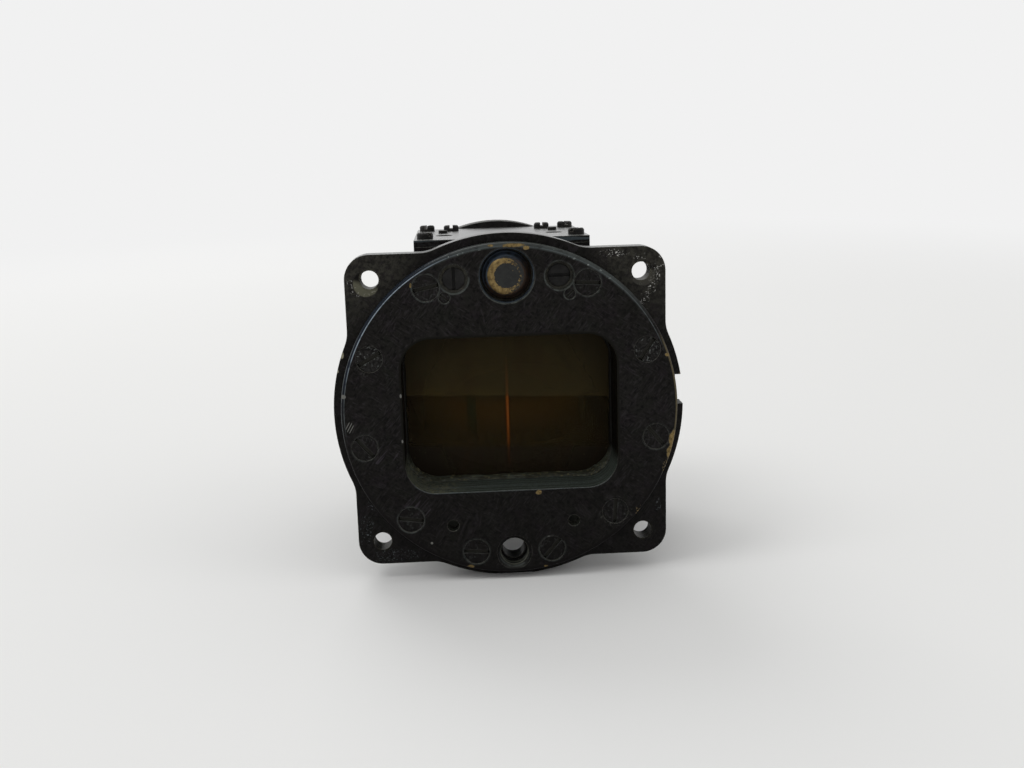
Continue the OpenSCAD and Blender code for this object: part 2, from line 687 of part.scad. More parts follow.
module light_window() color([0.8, 0.3, 0.2, 0.4])
  translate([0, light_y, light_z]) cylinder(d = light_window_d, h = light_window_t);

// Adjusters and the compensator's gear train

module adjuster_bushes() color([0.72, 0.55, 0.3]) both_sides() turned(adjuster_x, adjuster_z,
  [[adjuster_shaft_d / 2 + run_gap, bush_y[0]], [bush_d / 2, bush_y[0]], [bush_d / 2, bush_y[1]],
   [adjuster_shaft_d / 2 + run_gap, bush_y[1]]]);

// Each tooth is a wedge across its pitch circle; at rest one pinion tooth points up and one down
module pinion_outline() {
  root = pitch_pinion_r - tooth_ded;
  tip = pitch_pinion_r + tooth_add;
  circle(root);
  for (i = [0:pinion_teeth - 1]) rotate(90 + i * 360 / pinion_teeth)
    polygon([[0, -0.78 * gear_module], [root, -0.72 * gear_module], [tip, -0.3 * gear_module],
      [tip, 0.3 * gear_module], [root, 0.72 * gear_module], [0, 0.78 * gear_module]]);
}

module adjuster(side, head_depth, slot_angle) {
  face = -bezel_t + head_depth;
  color([0.17, 0.16, 0.16]) translate([side * adjuster_x, 0, adjuster_z]) {
    translate([0, face, 0]) difference() {
      rotate([-90, 0, 0]) cylinder(d = adjuster_head_d, h = flange_t - run_gap - face);
      slot(adjuster_head_d, 0.8, 1, slot_angle);
    }
    bar(0, 0, adjuster_shaft_d / 2, 0, pinion_y - gear_face / 2);
    plate(pinion_y - gear_face / 2, pinion_y + gear_face / 2) pinion_outline();
  }
}

module clip(side) color([0.6, 0.6, 0.62]) turned(side * adjuster_x, adjuster_z,
  [[adjuster_shaft_d / 2 + seat_gap, clip_groove_y], [adjuster_shaft_d / 2 + 1, clip_groove_y],
   [adjuster_shaft_d / 2 + 1, clip_groove_y + clip_t], [adjuster_shaft_d / 2 + seat_gap, clip_groove_y + clip_t]]);

// A gear whose teeth stand up from its top face at height 0; a gap faces the pinion
module crown_gear() difference() {
  union() {
    translate([0, 0, -gear_t]) cylinder(r = gear_r, h = gear_t);
    for (i = [0:gear_teeth - 1]) rotate(-90 + (i + 0.5) * 360 / gear_teeth)
      translate([pitch_gear_r - gear_face / 2, 0, 0]) rotate([90, 0, 90]) linear_extrude(gear_face)
        polygon([[-0.62 * gear_module, -gear_t / 2], [0.62 * gear_module, -gear_t / 2],
          [0.3 * gear_module, tooth_add + tooth_ded], [-0.3 * gear_module, tooth_add + tooth_ded]]);
  }
  translate([0, 0, -gear_t - cut]) cylinder(d = stud_d + 2 * run_gap, h = gear_t + 2 * cut);
}

module place_gear(side, upper) translate([side * adjuster_x, card_y, upper ? gear_high_face : gear_low_face])
  rotate([upper ? 180 : 0, 0, 0]) children();

module magnet_gear(side, upper) color([0.75, 0.62, 0.35]) place_gear(side, upper)
  rotate(upper ? 180 : 0) crown_gear();

module gear_magnet(side, upper, turn) color([0.45, 0.46, 0.48]) place_gear(side, upper) rotate(turn) difference() {
  translate([-magnet_l / 2, -magnet_w / 2, -gear_t - magnet_t]) cube([magnet_l, magnet_w, magnet_t]);
  translate([0, 0, -gear_t - magnet_t - cut]) cylinder(d = stud_d + 2 * run_gap, h = magnet_t + 2 * cut);
}

module left_adjuster() adjuster(-1, left_head_depth, 90);
module left_clip() clip(-1);
module left_upper_gear() magnet_gear(-1, true);
module left_upper_magnet() gear_magnet(-1, true, 0);
module left_lower_gear() magnet_gear(-1, false);
module left_lower_magnet() gear_magnet(-1, false, 0);
module right_adjuster() adjuster(1, right_head_depth, 0);
module right_clip() clip(1);
module right_upper_gear() magnet_gear(1, true);
module right_upper_magnet() gear_magnet(1, true, 90);
module right_lower_gear() magnet_gear(1, false);
module right_lower_magnet() gear_magnet(1, false, 90);

module gear_studs() color([0.65, 0.65, 0.67]) both_sides() {
  low_rest = gear_low_face - gear_t - magnet_t - run_gap;
  spun(adjuster_x, card_y, [[0, box_floor_z - stud_seat], [stud_d / 2, box_floor_z - stud_seat],
    [stud_d / 2, box_floor_z], [stud_d / 2 + stud_collar, box_floor_z],
    [stud_d / 2 + stud_collar, low_rest], [stud_d / 2, low_rest],
    [stud_d / 2, bridge_z + bridge_t - seat_gap], [0, bridge_z + bridge_t - seat_gap]]);
}

module gear_bridge() color([0.7, 0.58, 0.34]) difference() {
  translate([-bridge_half_w, card_y - bridge_end, bridge_z])
    cube([2 * bridge_half_w, bridge_screw_at[1] - card_y + 2 * bridge_end, bridge_t]);
  both_sides() {
    translate([adjuster_x, card_y, bridge_z - cut]) cylinder(d = stud_d + 2 * seat_gap, h = bridge_t + 2 * cut);
    translate([bridge_screw_at[0], bridge_screw_at[1], bridge_z - cut])
      cylinder(d = cover_screw_d + 2 * seat_gap, h = bridge_t + 2 * cut);
    translate([bridge_dowel_at[0], bridge_dowel_at[1], bridge_z - cut])
      cylinder(d = bridge_dowel_d + 2 * seat_gap, h = bridge_t + 2 * cut);
  }
}

module compensator_cover() color([0.08, 0.08, 0.09]) difference() {
  translate([-box_half_w, box_y, cover_under_z]) cube([2 * box_half_w, box_end_y - box_y, cover_t]);
  both_sides() {
    for (y = corner_ys) translate([corner_x, y, cover_under_z - cut])
      cylinder(d = cover_screw_d + 2 * seat_gap, h = cover_t + 2 * cut);
    translate([bridge_screw_at[0], bridge_screw_at[1], cover_under_z - cut])
      cylinder(d = cover_screw_d + 2 * seat_gap, h = cover_t + 2 * cut);
    translate([bridge_dowel_at[0], bridge_dowel_at[1], cover_under_z - cut])
      cylinder(d = bridge_dowel_d + 2 * seat_gap, h = cover_t + 2 * cut);
    translate([cover_recess_at[0], cover_recess_at[1], box_top_z - cover_recess_depth])
      cylinder(d = cover_recess_d, h = cover_recess_depth + cut);
  }
}

module cover_screws() color([0.2, 0.19, 0.18]) both_sides() for (y = corner_ys) place_on_cover(corner_x, y)
  fillister_screw(cover_screw_head_d, cover_screw_head_h, cover_screw_d, cover_screw_l, 20 * y);

module bridge_screws() color([0.2, 0.19, 0.18]) both_sides() place_on_cover(bridge_screw_at[0], bridge_screw_at[1])
  fillister_screw(cover_screw_head_d, cover_screw_head_h, cover_screw_d, cover_t + bridge_t, 90);

module bridge_dowels() color([0.4, 0.36, 0.28]) both_sides()
  translate([bridge_dowel_at[0], bridge_dowel_at[1], bridge_z])
    cylinder(d = bridge_dowel_d, h = box_top_z + bridge_dowel_proud - bridge_z);

// Card, float and pivot

module card_ring() color([0.12, 0.12, 0.06]) spun(0, card_y, [[card_r - card_wall, card_top_z - card_h],
  [card_r, card_top_z - card_h], [card_r, card_top_z], [card_r - card_wall, card_top_z]], $fn = 144);

module card_spider() color([0.6, 0.58, 0.5]) translate([0, card_y, spider_z]) linear_extrude(spider_t) {
  rim_r = card_r - card_wall - seat_gap;
  difference() {
    circle(rim_r);
    circle(rim_r - 1.6);
  }
  difference() {
    union() {
      circle(float_r);
      for (i = [0:spider_arms - 1]) rotate(i * 360 / spider_arms) translate([0, -1]) square([rim_r - 0.5, 2]);
    }
    circle(well_low_r - float_wall);
  }
}

// Half of the float's dome, from the base out to the middle of the top, as radius and height
function dome_curve(r, h) = [for (a = [0:10:80]) [r * cos(a), dome_z + h * sin(a)]];

module float_dome() color([0.68, 0.6, 0.4]) spun(0, card_y, concat(dome_curve(float_r, float_h),
  [[hub_r + seat_gap, dome_top_z], [hub_r + seat_gap, dome_top_z - float_wall]],
  [for (a = [80:-10:0]) [(float_r - float_wall) * cos(a), dome_z + (float_h - float_wall) * sin(a)]]));

module float_well() color([0.68, 0.6, 0.4]) spun(0, card_y, [[well_low_r - float_wall, dome_z], [well_low_r, dome_z],
  [well_high_r + float_wall, dome_z + well_h], [hub_r + seat_gap, dome_z + well_h + float_wall],
  [hub_r + seat_gap, dome_z + well_h], [well_high_r, dome_z + well_h]]);

module card_hub() color([0.72, 0.6, 0.35]) spun(0, card_y, [[pin_d / 2 + run_gap, hub_z], [hub_r, hub_z],
  [hub_r, dome_top_z + 0.3], [0, dome_top_z + 0.3], [0, dome_top_z - 0.5], [pin_d / 2 + run_gap, dome_top_z - 0.5]]);

module card_magnets() color([0.42, 0.43, 0.46]) both_sides()
  bar(card_magnet_x, card_magnet_z, card_magnet_d / 2, card_y - card_magnet_l / 2, card_y + card_magnet_l / 2);

module magnet_clips() color([0.7, 0.62, 0.42]) both_sides() for (end = [-1, 1]) {
  y = card_y + end * card_magnet_l * 0.3;
  band_r = card_magnet_d / 2 + 0.35;
  difference() {
    union() {
      bar(card_magnet_x, card_magnet_z, band_r, y - 1, y + 1);
      translate([card_magnet_x - band_r, y - 1, card_magnet_z]) cube([2 * band_r, 2, spider_z - card_magnet_z]);
    }
    bar(card_magnet_x, card_magnet_z, card_magnet_d / 2 + seat_gap, y - 1 - cut, y + 1 + cut);
  }
}

module pivot_pin() color([0.7, 0.7, 0.72]) difference() {
  spun(0, card_y, [[0, pivot_z + 0.25], [0.32, pivot_z + 0.25], [pin_d / 2, pivot_z + 2.4],
    [pin_d / 2, dome_top_z - 0.55], [0, dome_top_z - 0.55]]);
  translate([0, card_y, pivot_z]) sphere(tip_r + seat_gap);
}

module pivot_tip() color([0.8, 0.8, 0.82]) translate([0, card_y, pivot_z]) sphere(tip_r);

module jewel_stone() color([0.6, 0.15, 0.2]) difference() {
  translate([0, card_y, stone_top - stone_h]) cylinder(r = stone_r, h = stone_h);
  translate([0, card_y, pivot_z]) sphere(tip_r + run_gap);
}

module jewel_holder() color([0.75, 0.62, 0.36]) spun(0, card_y, [[0, post_top_z - 4], [holder_d / 2, post_top_z - 4],
  [holder_d / 2, post_top_z], [neck_d / 2, post_top_z], [neck_d / 2, stone_top - 0.1],
  [stone_r + seat_gap, stone_top - 0.1], [stone_r + seat_gap, stone_top - stone_h], [0, stone_top - stone_h]]);

module post_cap() color([0.72, 0.6, 0.35]) {
  inner = post_d / 2 + seat_gap;
  spun(0, card_y, [[neck_d / 2 + run_gap, post_top_z + run_gap], [inner, post_top_z + run_gap],
    [inner, post_top_z - cap_skirt], [inner + cap_wall, post_top_z - cap_skirt],
    [inner + cap_wall, post_top_z + cap_lip - 0.3], [inner + cap_wall - 0.3, post_top_z + cap_lip],
    [neck_d / 2 + run_gap, post_top_z + cap_lip]]);
}

module jewel_post() color([0.68, 0.56, 0.32]) difference() {
  spun(0, card_y, [[0, post_base_z], [post_base_d / 2 - 0.6, post_base_z],
    [post_base_d / 2 - 0.6, post_base_z + post_base_t],
    [post_d / 2, post_base_z + post_base_t], [post_d / 2, post_top_z], [holder_d / 2 + run_gap, post_top_z],
    [holder_d / 2 + run_gap, post_top_z - bore_depth], [0, post_top_z - bore_depth]]);
  both_sides() translate([post_screw_x, card_y, post_base_z - cut])
    cylinder(d = post_screw_d + 2 * seat_gap, h = post_base_t + 2 * cut);
}

module post_screws() color([0.5, 0.5, 0.5]) both_sides()
  translate([post_screw_x, card_y, post_base_z + post_base_t]) rotate([-90, 0, 0])
    fillister_screw(post_screw_head_d, post_screw_head_h, post_screw_d, post_base_t + post_screw_grip,
      post_screw_slot);

// One unbroken tube of wire, swept along a helix
module helix(mid_r, wire_r, h, turns) {
  steps = 14 * turns;
  ring = 6;
  points = [for (i = [0:steps], j = [0:ring - 1])
    let (a = 360 * turns * i / steps, b = 360 * j / ring, r = mid_r + wire_r * cos(b))
    [r * cos(a), r * sin(a), h * i / steps + wire_r * sin(b)]];
  sides = [for (i = [0:steps - 1], j = [0:ring - 1], half = [0, 1])
    let (k = (j + 1) % ring, p = i * ring, q = p + ring)
    half == 0 ? [p + j, q + j, q + k] : [p + j, q + k, p + k]];
  ends = [for (j = [1:ring - 2]) each [[0, j, j + 1], [steps * ring, steps * ring + j + 1, steps * ring + j]]];
  polyhedron(points, concat(sides, ends));
}

module jewel_spring() color([0.6, 0.6, 0.62]) {
  wire_r = spring_wire_d / 2;
  low = post_top_z - bore_depth + wire_r + seat_gap;
  high = post_top_z - 4 - wire_r - seat_gap;
  translate([0, card_y, low]) helix(holder_d / 2 - wire_r - 0.05, wire_r, high - low, spring_turns);
}

// Rear end

module expansion_diaphragm() color([0.7, 0.62, 0.42]) {
  crest = 0.9;
  inner_r = can_r - can_wall - 0.6;
  step = inner_r / 5;
  wave = [for (i = [0:5]) [i * step, i % 2 == 0 ? crest : 0.1]];
  y = rear_cover_y;
  turned(0, chamber_z, concat([for (p = wave) [p[0], y + p[1]]], [[inner_r + 0.5, y], [diaphragm_r, y],
    [diaphragm_r, y + diaphragm_t], [inner_r + 0.3, y + diaphragm_t]],
    [for (i = [5:-1:0]) [wave[i][0], y + wave[i][1] + diaphragm_t]]));
}

module rear_gasket() color([0.2, 0.18, 0.14]) difference() {
  plate(body_depth, rear_cover_y) difference() {
    rear_outline();
    translate([0, chamber_z]) circle(chamber_r);
  }
  rear_foot_cut();
  place_rear_screws() rotate([-90, 0, 0]) cylinder(d = rear_screw_d + 2 * seat_gap, h = rear_plate_y);
}

module rear_cover() color([0.07, 0.07, 0.08]) difference() {
  union() {
    plate(rear_cover_y, rear_plate_y) rear_outline();
    turned(0, chamber_z, [[0, rear_cover_y], [can_r, rear_cover_y], [can_r, can_y - can_bevel],
      [can_r - can_bevel, can_y], [0, can_y]]);
  }
  bar(0, chamber_z, can_r - can_wall, rear_cover_y - cut, can_y - can_wall);
  bar(0, chamber_z, diaphragm_r + seat_gap, rear_cover_y - cut, rear_cover_y + diaphragm_t + seat_gap);
  place_rear_screws() rotate([-90, 0, 0]) cylinder(d = rear_screw_d + 2 * seat_gap, h = rear_cover_t + cut);
  rear_foot_cut();
}

module rear_screws() color([0.2, 0.19, 0.18]) place_rear_screws()
  fillister_screw(rear_screw_head_d, rear_screw_head_h, rear_screw_d,
    rear_cover_t + rear_gasket_t + rear_screw_grip, $slot_angle);

module filler_plug() color([0.45, 0.4, 0.3])
translate([filler_face_x + filler_washer_t, filler_y, chamber_z]) difference() {
  slot_w = filler_head_t * 0.55;
  rotate([0, 90, 0]) {
    cylinder(d = filler_head_d - 0.8, h = filler_head_t);
    translate([0, 0, -filler_l]) cylinder(d = filler_d, h = filler_l + filler_head_t / 2);
  }
  translate([filler_head_t * 0.6, -filler_head_d, -slot_w / 2]) cube([filler_head_t, 2 * filler_head_d, slot_w]);
}

module filler_washer() color([0.75, 0.5, 0.35]) translate([filler_face_x, filler_y, chamber_z]) rotate([0, 90, 0])
  difference() {
    cylinder(d = filler_head_d, h = filler_washer_t);
    translate([0, 0, -cut]) cylinder(d = filler_d + 2 * seat_gap, h = filler_washer_t + 2 * cut);
  }

mounting_flange();
case_casting();
rear_flange();
bezel_ring();
window_frame();
bezel_screws();
lock_screws();
glass_front_gasket();
window_glass();
glass_rear_gasket();
lubber_line();
lamp_socket();
lamp_cap();
bulb_glass();
bulb_base();
lamp_contact();
contact_insulator();
light_window();
adjuster_bushes();
left_adjuster();
left_clip();
left_upper_gear();
left_upper_magnet();
left_lower_gear();
left_lower_magnet();
right_adjuster();
right_clip();
right_upper_gear();
right_upper_magnet();
right_lower_gear();
right_lower_magnet();
gear_studs();
gear_bridge();
compensator_cover();
cover_screws();
bridge_screws();
bridge_dowels();
card_ring();
card_spider();
float_dome();
float_well();
card_hub();
card_magnets();
magnet_clips();
pivot_pin();
pivot_tip();
jewel_stone();
jewel_holder();
jewel_spring();
post_cap();
jewel_post();
post_screws();
expansion_diaphragm();
rear_gasket();
rear_cover();
rear_screws();
filler_plug();
filler_washer();
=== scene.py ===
import functools
import json
import math

import bmesh
import bpy
from mathutils import Matrix, Vector, noise


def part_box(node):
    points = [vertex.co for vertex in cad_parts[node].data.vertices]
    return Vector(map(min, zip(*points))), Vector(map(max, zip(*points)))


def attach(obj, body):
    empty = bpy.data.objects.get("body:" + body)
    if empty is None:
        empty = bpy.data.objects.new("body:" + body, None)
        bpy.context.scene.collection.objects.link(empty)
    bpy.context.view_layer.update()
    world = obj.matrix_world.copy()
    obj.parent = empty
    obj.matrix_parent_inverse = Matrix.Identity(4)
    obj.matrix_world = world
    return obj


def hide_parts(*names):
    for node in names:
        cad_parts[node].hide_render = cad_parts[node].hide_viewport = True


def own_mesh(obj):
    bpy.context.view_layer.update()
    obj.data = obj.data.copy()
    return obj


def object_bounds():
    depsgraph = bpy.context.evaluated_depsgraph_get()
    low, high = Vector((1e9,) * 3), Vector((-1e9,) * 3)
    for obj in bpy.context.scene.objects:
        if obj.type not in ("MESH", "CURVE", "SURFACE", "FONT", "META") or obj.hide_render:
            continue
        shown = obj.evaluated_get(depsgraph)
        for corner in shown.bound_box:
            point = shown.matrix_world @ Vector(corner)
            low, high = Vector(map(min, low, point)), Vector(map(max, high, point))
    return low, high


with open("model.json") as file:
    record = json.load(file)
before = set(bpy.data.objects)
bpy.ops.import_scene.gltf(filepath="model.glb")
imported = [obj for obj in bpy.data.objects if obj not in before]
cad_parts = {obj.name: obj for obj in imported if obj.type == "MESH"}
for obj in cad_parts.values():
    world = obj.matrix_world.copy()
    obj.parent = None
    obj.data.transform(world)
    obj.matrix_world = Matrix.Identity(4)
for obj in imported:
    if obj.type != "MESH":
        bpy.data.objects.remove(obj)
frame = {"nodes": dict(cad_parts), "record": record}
nodes = frame["nodes"]
cadLow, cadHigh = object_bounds()
scene = bpy.context.scene
scene.view_settings.view_transform = "Standard"
mm = 0.001

# camera: the fitted view of the photograph
camera = {"lens": 40.05, "turn": (2.76, 11.35, -1.67), "standOff": (-0.54, 269.23, -5.72),
          "near": 0.01, "far": 20}

yaw, pitch, roll = (math.radians(a) for a in camera["turn"])
toView = Matrix.Rotation(roll, 3, "Y") @ Matrix.Rotation(pitch, 3, "X") @ Matrix.Rotation(yaw, 3, "Z")
eye = toView.transposed() @ Vector(camera["standOff"]) * -mm
right, ahead, up = toView[0], toView[1], toView[2]
lens = bpy.data.cameras.new("view")
lens.lens, lens.clip_start, lens.clip_end = camera["lens"], camera["near"], camera["far"]
viewer = bpy.data.objects.new("view", lens)
viewer.matrix_world = Matrix([[right[i], up[i], -ahead[i], eye[i]] for i in range(3)] + [[0, 0, 0, 1]])
scene.collection.objects.link(viewer)
scene.camera = viewer
print("camera set")


class Wire:  # one output of a node, so that node maths reads as maths
    def __init__(self, graph, socket):
        self.graph, self.socket = graph, socket

    def reckon(self, operation, *values):
        return self.graph.node("ShaderNodeMath", {"operation": operation}, dict(enumerate(values)))

    def __add__(self, other): return self.reckon("ADD", self, other)
    def __radd__(self, other): return self.reckon("ADD", self, other)
    def __sub__(self, other): return self.reckon("SUBTRACT", self, other)
    def __rsub__(self, other): return self.reckon("SUBTRACT", other, self)
    def __mul__(self, other): return self.reckon("MULTIPLY", self, other)
    def __rmul__(self, other): return self.reckon("MULTIPLY", self, other)
    def __truediv__(self, other): return self.reckon("DIVIDE", self, other)
    def __pow__(self, other): return self.reckon("POWER", self, other)
    def __abs__(self): return self.reckon("ABSOLUTE", self)
    def most(self, other): return self.reckon("MAXIMUM", self, other)
    def zigzag(self, width): return self.reckon("PINGPONG", self, width)


def strongest(wires):
    return functools.reduce(Wire.most, wires)


class Graph:  # a tree of shader, world or geometry nodes
    def __init__(self, tree):
        self.tree = tree
        tree.nodes.clear()

    def node(self, kind, settings=None, links=None, out=0):
        made = self.tree.nodes.new(kind)
        for key, value in (settings or {}).items():
            setattr(made, key, value)
        for key, value in (links or {}).items():
            if isinstance(value, Wire):
                self.tree.links.new(value.socket, made.inputs[key])
            elif isinstance(value, tuple) and made.inputs[key].type == "RGBA":
                made.inputs[key].default_value = (*value, 1)
            else:
                made.inputs[key].default_value = value
        return Wire(self, made.outputs[out]) if made.outputs else made


class Finish(Graph):  # one material, with its place in millimetres
    def __init__(self, name):
        self.material = bpy.data.materials.new(name)
        self.material.use_nodes = True
        super().__init__(self.material.node_tree)
        place = self.node("ShaderNodeTexCoord", out="Object")
        self.place = self.node("ShaderNodeVectorMath", {"operation": "SCALE"}, {0: place, "Scale": 1 / mm})
        parts = self.node("ShaderNodeSeparateXYZ", links={0: self.place}).socket.node
        self.x, self.y, self.z = (Wire(self, o) for o in parts.outputs)

    def noise(self, scale, detail=3.0, rough=0.5, place=None, twist=0.0):
        return self.node("ShaderNodeTexNoise", None, {
            "Vector": place or self.place, "Scale": scale, "Detail": detail, "Roughness": rough,
            "Distortion": twist})

    def stretched(self, sizes, turn=(0, 0, 0)):  # the place, turned and squeezed
        return self.node("ShaderNodeMapping", {"vector_type": "TEXTURE"}, {
            "Vector": self.place, "Scale": tuple(1 / s for s in sizes),
            "Rotation": tuple(math.radians(a) for a in turn)})

    def joined(self, x, y, z):
        return self.node("ShaderNodeCombineXYZ", None, {0: x, 1: y, 2: z})

    def step(self, value, low, high):  # 0 at low, 1 at high, smooth between them
        return self.node("ShaderNodeMapRange", {"interpolation_type": "SMOOTHSTEP"},
                         {"Value": value, "From Min": low, "From Max": high})

    def blend(self, mask, first, second):
        return self.node("ShaderNodeMix", {"data_type": "RGBA"}, {0: mask, 6: first, 7: second}, out=2)

    def fromAxis(self, x, z, wide=1.0, tall=1.0):  # distance from a depth axis, in widths and heights
        return (((self.x - x) / wide) ** 2 + ((self.z - z) / tall) ** 2) ** 0.5

    def clock(self):  # degrees from the top, plus to the right
        return self.x.reckon("ARCTAN2", self.x, self.z) * (180 / math.pi)

    def line(self, away, width):  # 1 along a line, from the distance to it
        return self.step(abs(away), width, width * 0.4)

    def arc(self, radius, width, start, end, fade):  # a line round the depth axis, between two clock angles
        line = self.line(self.fromAxis(0, 0) - radius, width)
        clock = self.clock()
        return line * self.step(clock, start - fade, start + fade) * self.step(clock, end + fade, end - fade)

    def ring(self, x, z, radius, width, towards, share):  # a line round a hole, strongest towards one side
        line = self.line(self.fromAxis(x, z) - radius, width)
        a = math.radians(towards)
        along = ((self.x - x) * math.sin(a) + (self.z - z) * math.cos(a)) / radius
        return line * (self.step(along, -0.2, 0.7) * (1 - share) + share)

    def patches(self, places, ragged):  # ragged patches at (x, z, half width, half height)
        return strongest([self.step(self.fromAxis(*place) + ragged, 1.15, 0.8) for place in places])

    def facingUp(self, low, high):
        return self.step(self.node("ShaderNodeSeparateXYZ", None,
                                   {0: self.node("ShaderNodeNewGeometry", out="Normal")}, out="Z"), low, high)

    def edges(self, width):  # 1 where the surface turns a corner
        true = self.node("ShaderNodeNewGeometry", out="Normal")
        along = self.node("ShaderNodeVectorMath", {"operation": "DOT_PRODUCT"},
                          {0: self.rounded(width), 1: true}, out="Value")
        return self.step(1 - along, 0.004, 0.12)

    def rounded(self, width):  # a normal that rounds the corners off
        return self.node("ShaderNodeBevel", {"samples": 6}, {"Radius": width * mm})

    def bump(self, height, strength, depth, normal=None):
        links = {"Height": height, "Strength": strength, "Distance": depth * mm}
        if normal:
            links["Normal"] = normal
        return self.node("ShaderNodeBump", None, links)

    def close(self, **sockets):
        links = {name.replace("_", " "): value for name, value in sockets.items()}
        shader = self.node("ShaderNodeBsdfPrincipled", None, links)
        self.node("ShaderNodeOutputMaterial", None, {"Surface": shader})
        return self.material


# brush marks that run outwards or slant, each in its own areas
def brushMarks(f, look):
    angle = f.z.reckon("ARCTAN2", f.z, f.x)
    spread = f.joined(angle * look["rays"], f.fromAxis(0, 0) * 0.16, f.y * 0.5)
    outward = f.noise(1.0, 4, 0.6, spread, 0.9)
    slant, other = (f.noise(1.0, 3, 0.55, f.stretched(look["stroke"], (0, turn, 0)), 0.9)
                    for turn in (look["slant"], look["slant"] + look["crossed"]))
    first = f.step(f.noise(0.14, 2), 0.54, 0.60)
    second = f.step(f.noise(0.19, 2, 0.5, f.stretched((1, 1, 1), (0, 60, 0))), 0.46, 0.54)
    marks = outward * first + slant * (1 - first)
    return marks * (1 - second * 0.7) + other * second * 0.7


# thick black paint on metal: brush marks, dust, worn edges and chips, with painted highlights along the edges,
# on the crinkle's peaks and along the brush ridges, painted shade in the pits and grooves, and painted light on
# the faces that look up
def blackPaint(name, look, ownMarks=None):
    f = Finish(name)
    cloud = f.noise(0.11, 4)
    grain = f.noise(1.25, 5, 0.68)
    pimples = f.noise(0.7, 3, 0.55)
    marks = brushMarks(f, look)
    crinkle = grain * 0.7 + pimples * 0.3
    colour = f.blend(f.step(cloud, 0.35, 0.68), look["dark"], look["light"])
    tint = f.noise(0.24, 3, 0.55)
    colour = f.blend(f.step(tint, 0.52, 0.68) * 0.6, colour, look["purple"])
    colour = f.blend(f.step(tint, 0.48, 0.32) * 0.6, colour, look["green"])
    # painted shade in the pits of the crinkle and painted highlights on its peaks
    colour = f.blend(f.step(crinkle, 0.50, 0.40), colour, look["pit"])
    colour = f.blend(f.step(crinkle, 0.53, 0.66) * 0.5, colour, look["peak"])
    # painted highlights along the brush ridges and painted shade in their grooves
    colour = f.blend(f.step(marks, 0.53, 0.62) * look["streaks"], colour, look["streak"])
    colour = f.blend(f.step(marks, 0.46, 0.37) * look["streaks"], colour, look["pit"])
    # darker towards the bottom, in the tone of the painted shade
    colour = f.blend(f.step(f.z, 4, -36) * 0.34, colour, look["pit"])
    # dust and painted light on the faces that look up
    upward = f.facingUp(0.35, 0.95)
    dustAndLight = upward * (f.step(f.noise(0.8, 6, 0.75), 0.30, 0.70) * 0.6 + 0.4)
    colour = f.blend(dustAndLight * look["dusted"], colour, look["topDust"])
    speck = f.step(f.noise(3.0, 2), 0.69, 0.76) * f.step(f.noise(0.3, 2), 0.45, 0.6)
    colour = f.blend(speck * look["specks"], colour, look["dust"])
    ragged = (f.noise(1.3, 4, 0.7) - 0.5) * 1.5
    corner = f.edges(look["edgeWidth"])
    wear = corner * 0.55 + f.noise(0.55, 4, 0.6) * 0.62 + f.noise(4.0, 2) * 0.12
    worn = f.step(wear, look["wearFrom"], look["wearFrom"] + 0.06) * f.step(corner, 0.05, 0.35)
    # a painted highlight along the edges
    sheen = f.step(corner, 0.02, 0.6) * f.step(f.noise(0.5, 3), 0.3, 0.68)
    colour = f.blend(sheen * look["rub"], colour, look["rubbed"])
    bare = f.blend(f.step(f.noise(1.8, 3), 0.35, 0.7), look["bare"], look["bareDark"])
    if ownMarks:  # the piece's own colour, chips, and where wear is kept off
        colour, chips, kept = ownMarks(f, colour, ragged)
        chip = f.blend(f.step(f.noise(1.2, 3), 0.4, 0.65), look["chip"], look["chipDark"])
        bare = f.blend(chips, bare, chip)
        worn = (worn * (1 - kept)).most(chips)
    colour = f.blend(worn, colour, bare)
    rough = look["rough"] + (grain - 0.5) * 0.3 + (marks - 0.5) * 0.3 - worn * 0.1
    height = crinkle * 0.8 + marks * 1.4 - worn * 0.5
    shine = {}
    if "coat" in look:  # a gloss on the faces that look up, above a height
        outside = f.step(f.z, look["coatFrom"], look["coatFrom"] + 1.2)
        shine = {"Coat_Weight": upward * outside * look["coat"], "Coat_Roughness": 0.32}
    return f.close(Base_Color=colour, Roughness=rough, Metallic=worn * 0.5, Specular_IOR_Level=look["gloss"],
                   Normal=f.bump(height, 0.55, 0.14, f.rounded(look["roundness"])), **shine)


paint = {
    "dark": (0.0066, 0.0058, 0.0052), "light": (0.0094, 0.0086, 0.0078), "pit": (0.0020, 0.0018, 0.0016),
    "peak": (0.0175, 0.0162, 0.0150), "purple": (0.0105, 0.0076, 0.0098), "green": (0.0078, 0.0086, 0.0062),
    "streak": (0.0230, 0.0202, 0.0220), "dust": (0.026, 0.027, 0.026), "topDust": (0.060, 0.064, 0.054),
    "rubbed": (0.030, 0.034, 0.038), "bare": (0.10, 0.10, 0.088), "bareDark": (0.05, 0.046, 0.036),
    "chip": (0.19, 0.135, 0.055), "chipDark": (0.085, 0.06, 0.026),
    "rays": 24, "slant": 38, "crossed": 85, "stroke": (3.4, 0.8, 0.50), "streaks": 0.6, "specks": 0.5,
    "dusted": 0.55, "edgeWidth": 0.3, "roundness": 0.3, "wearFrom": 0.80, "rub": 0.6, "rough": 0.40,
    "gloss": 0.065,
}
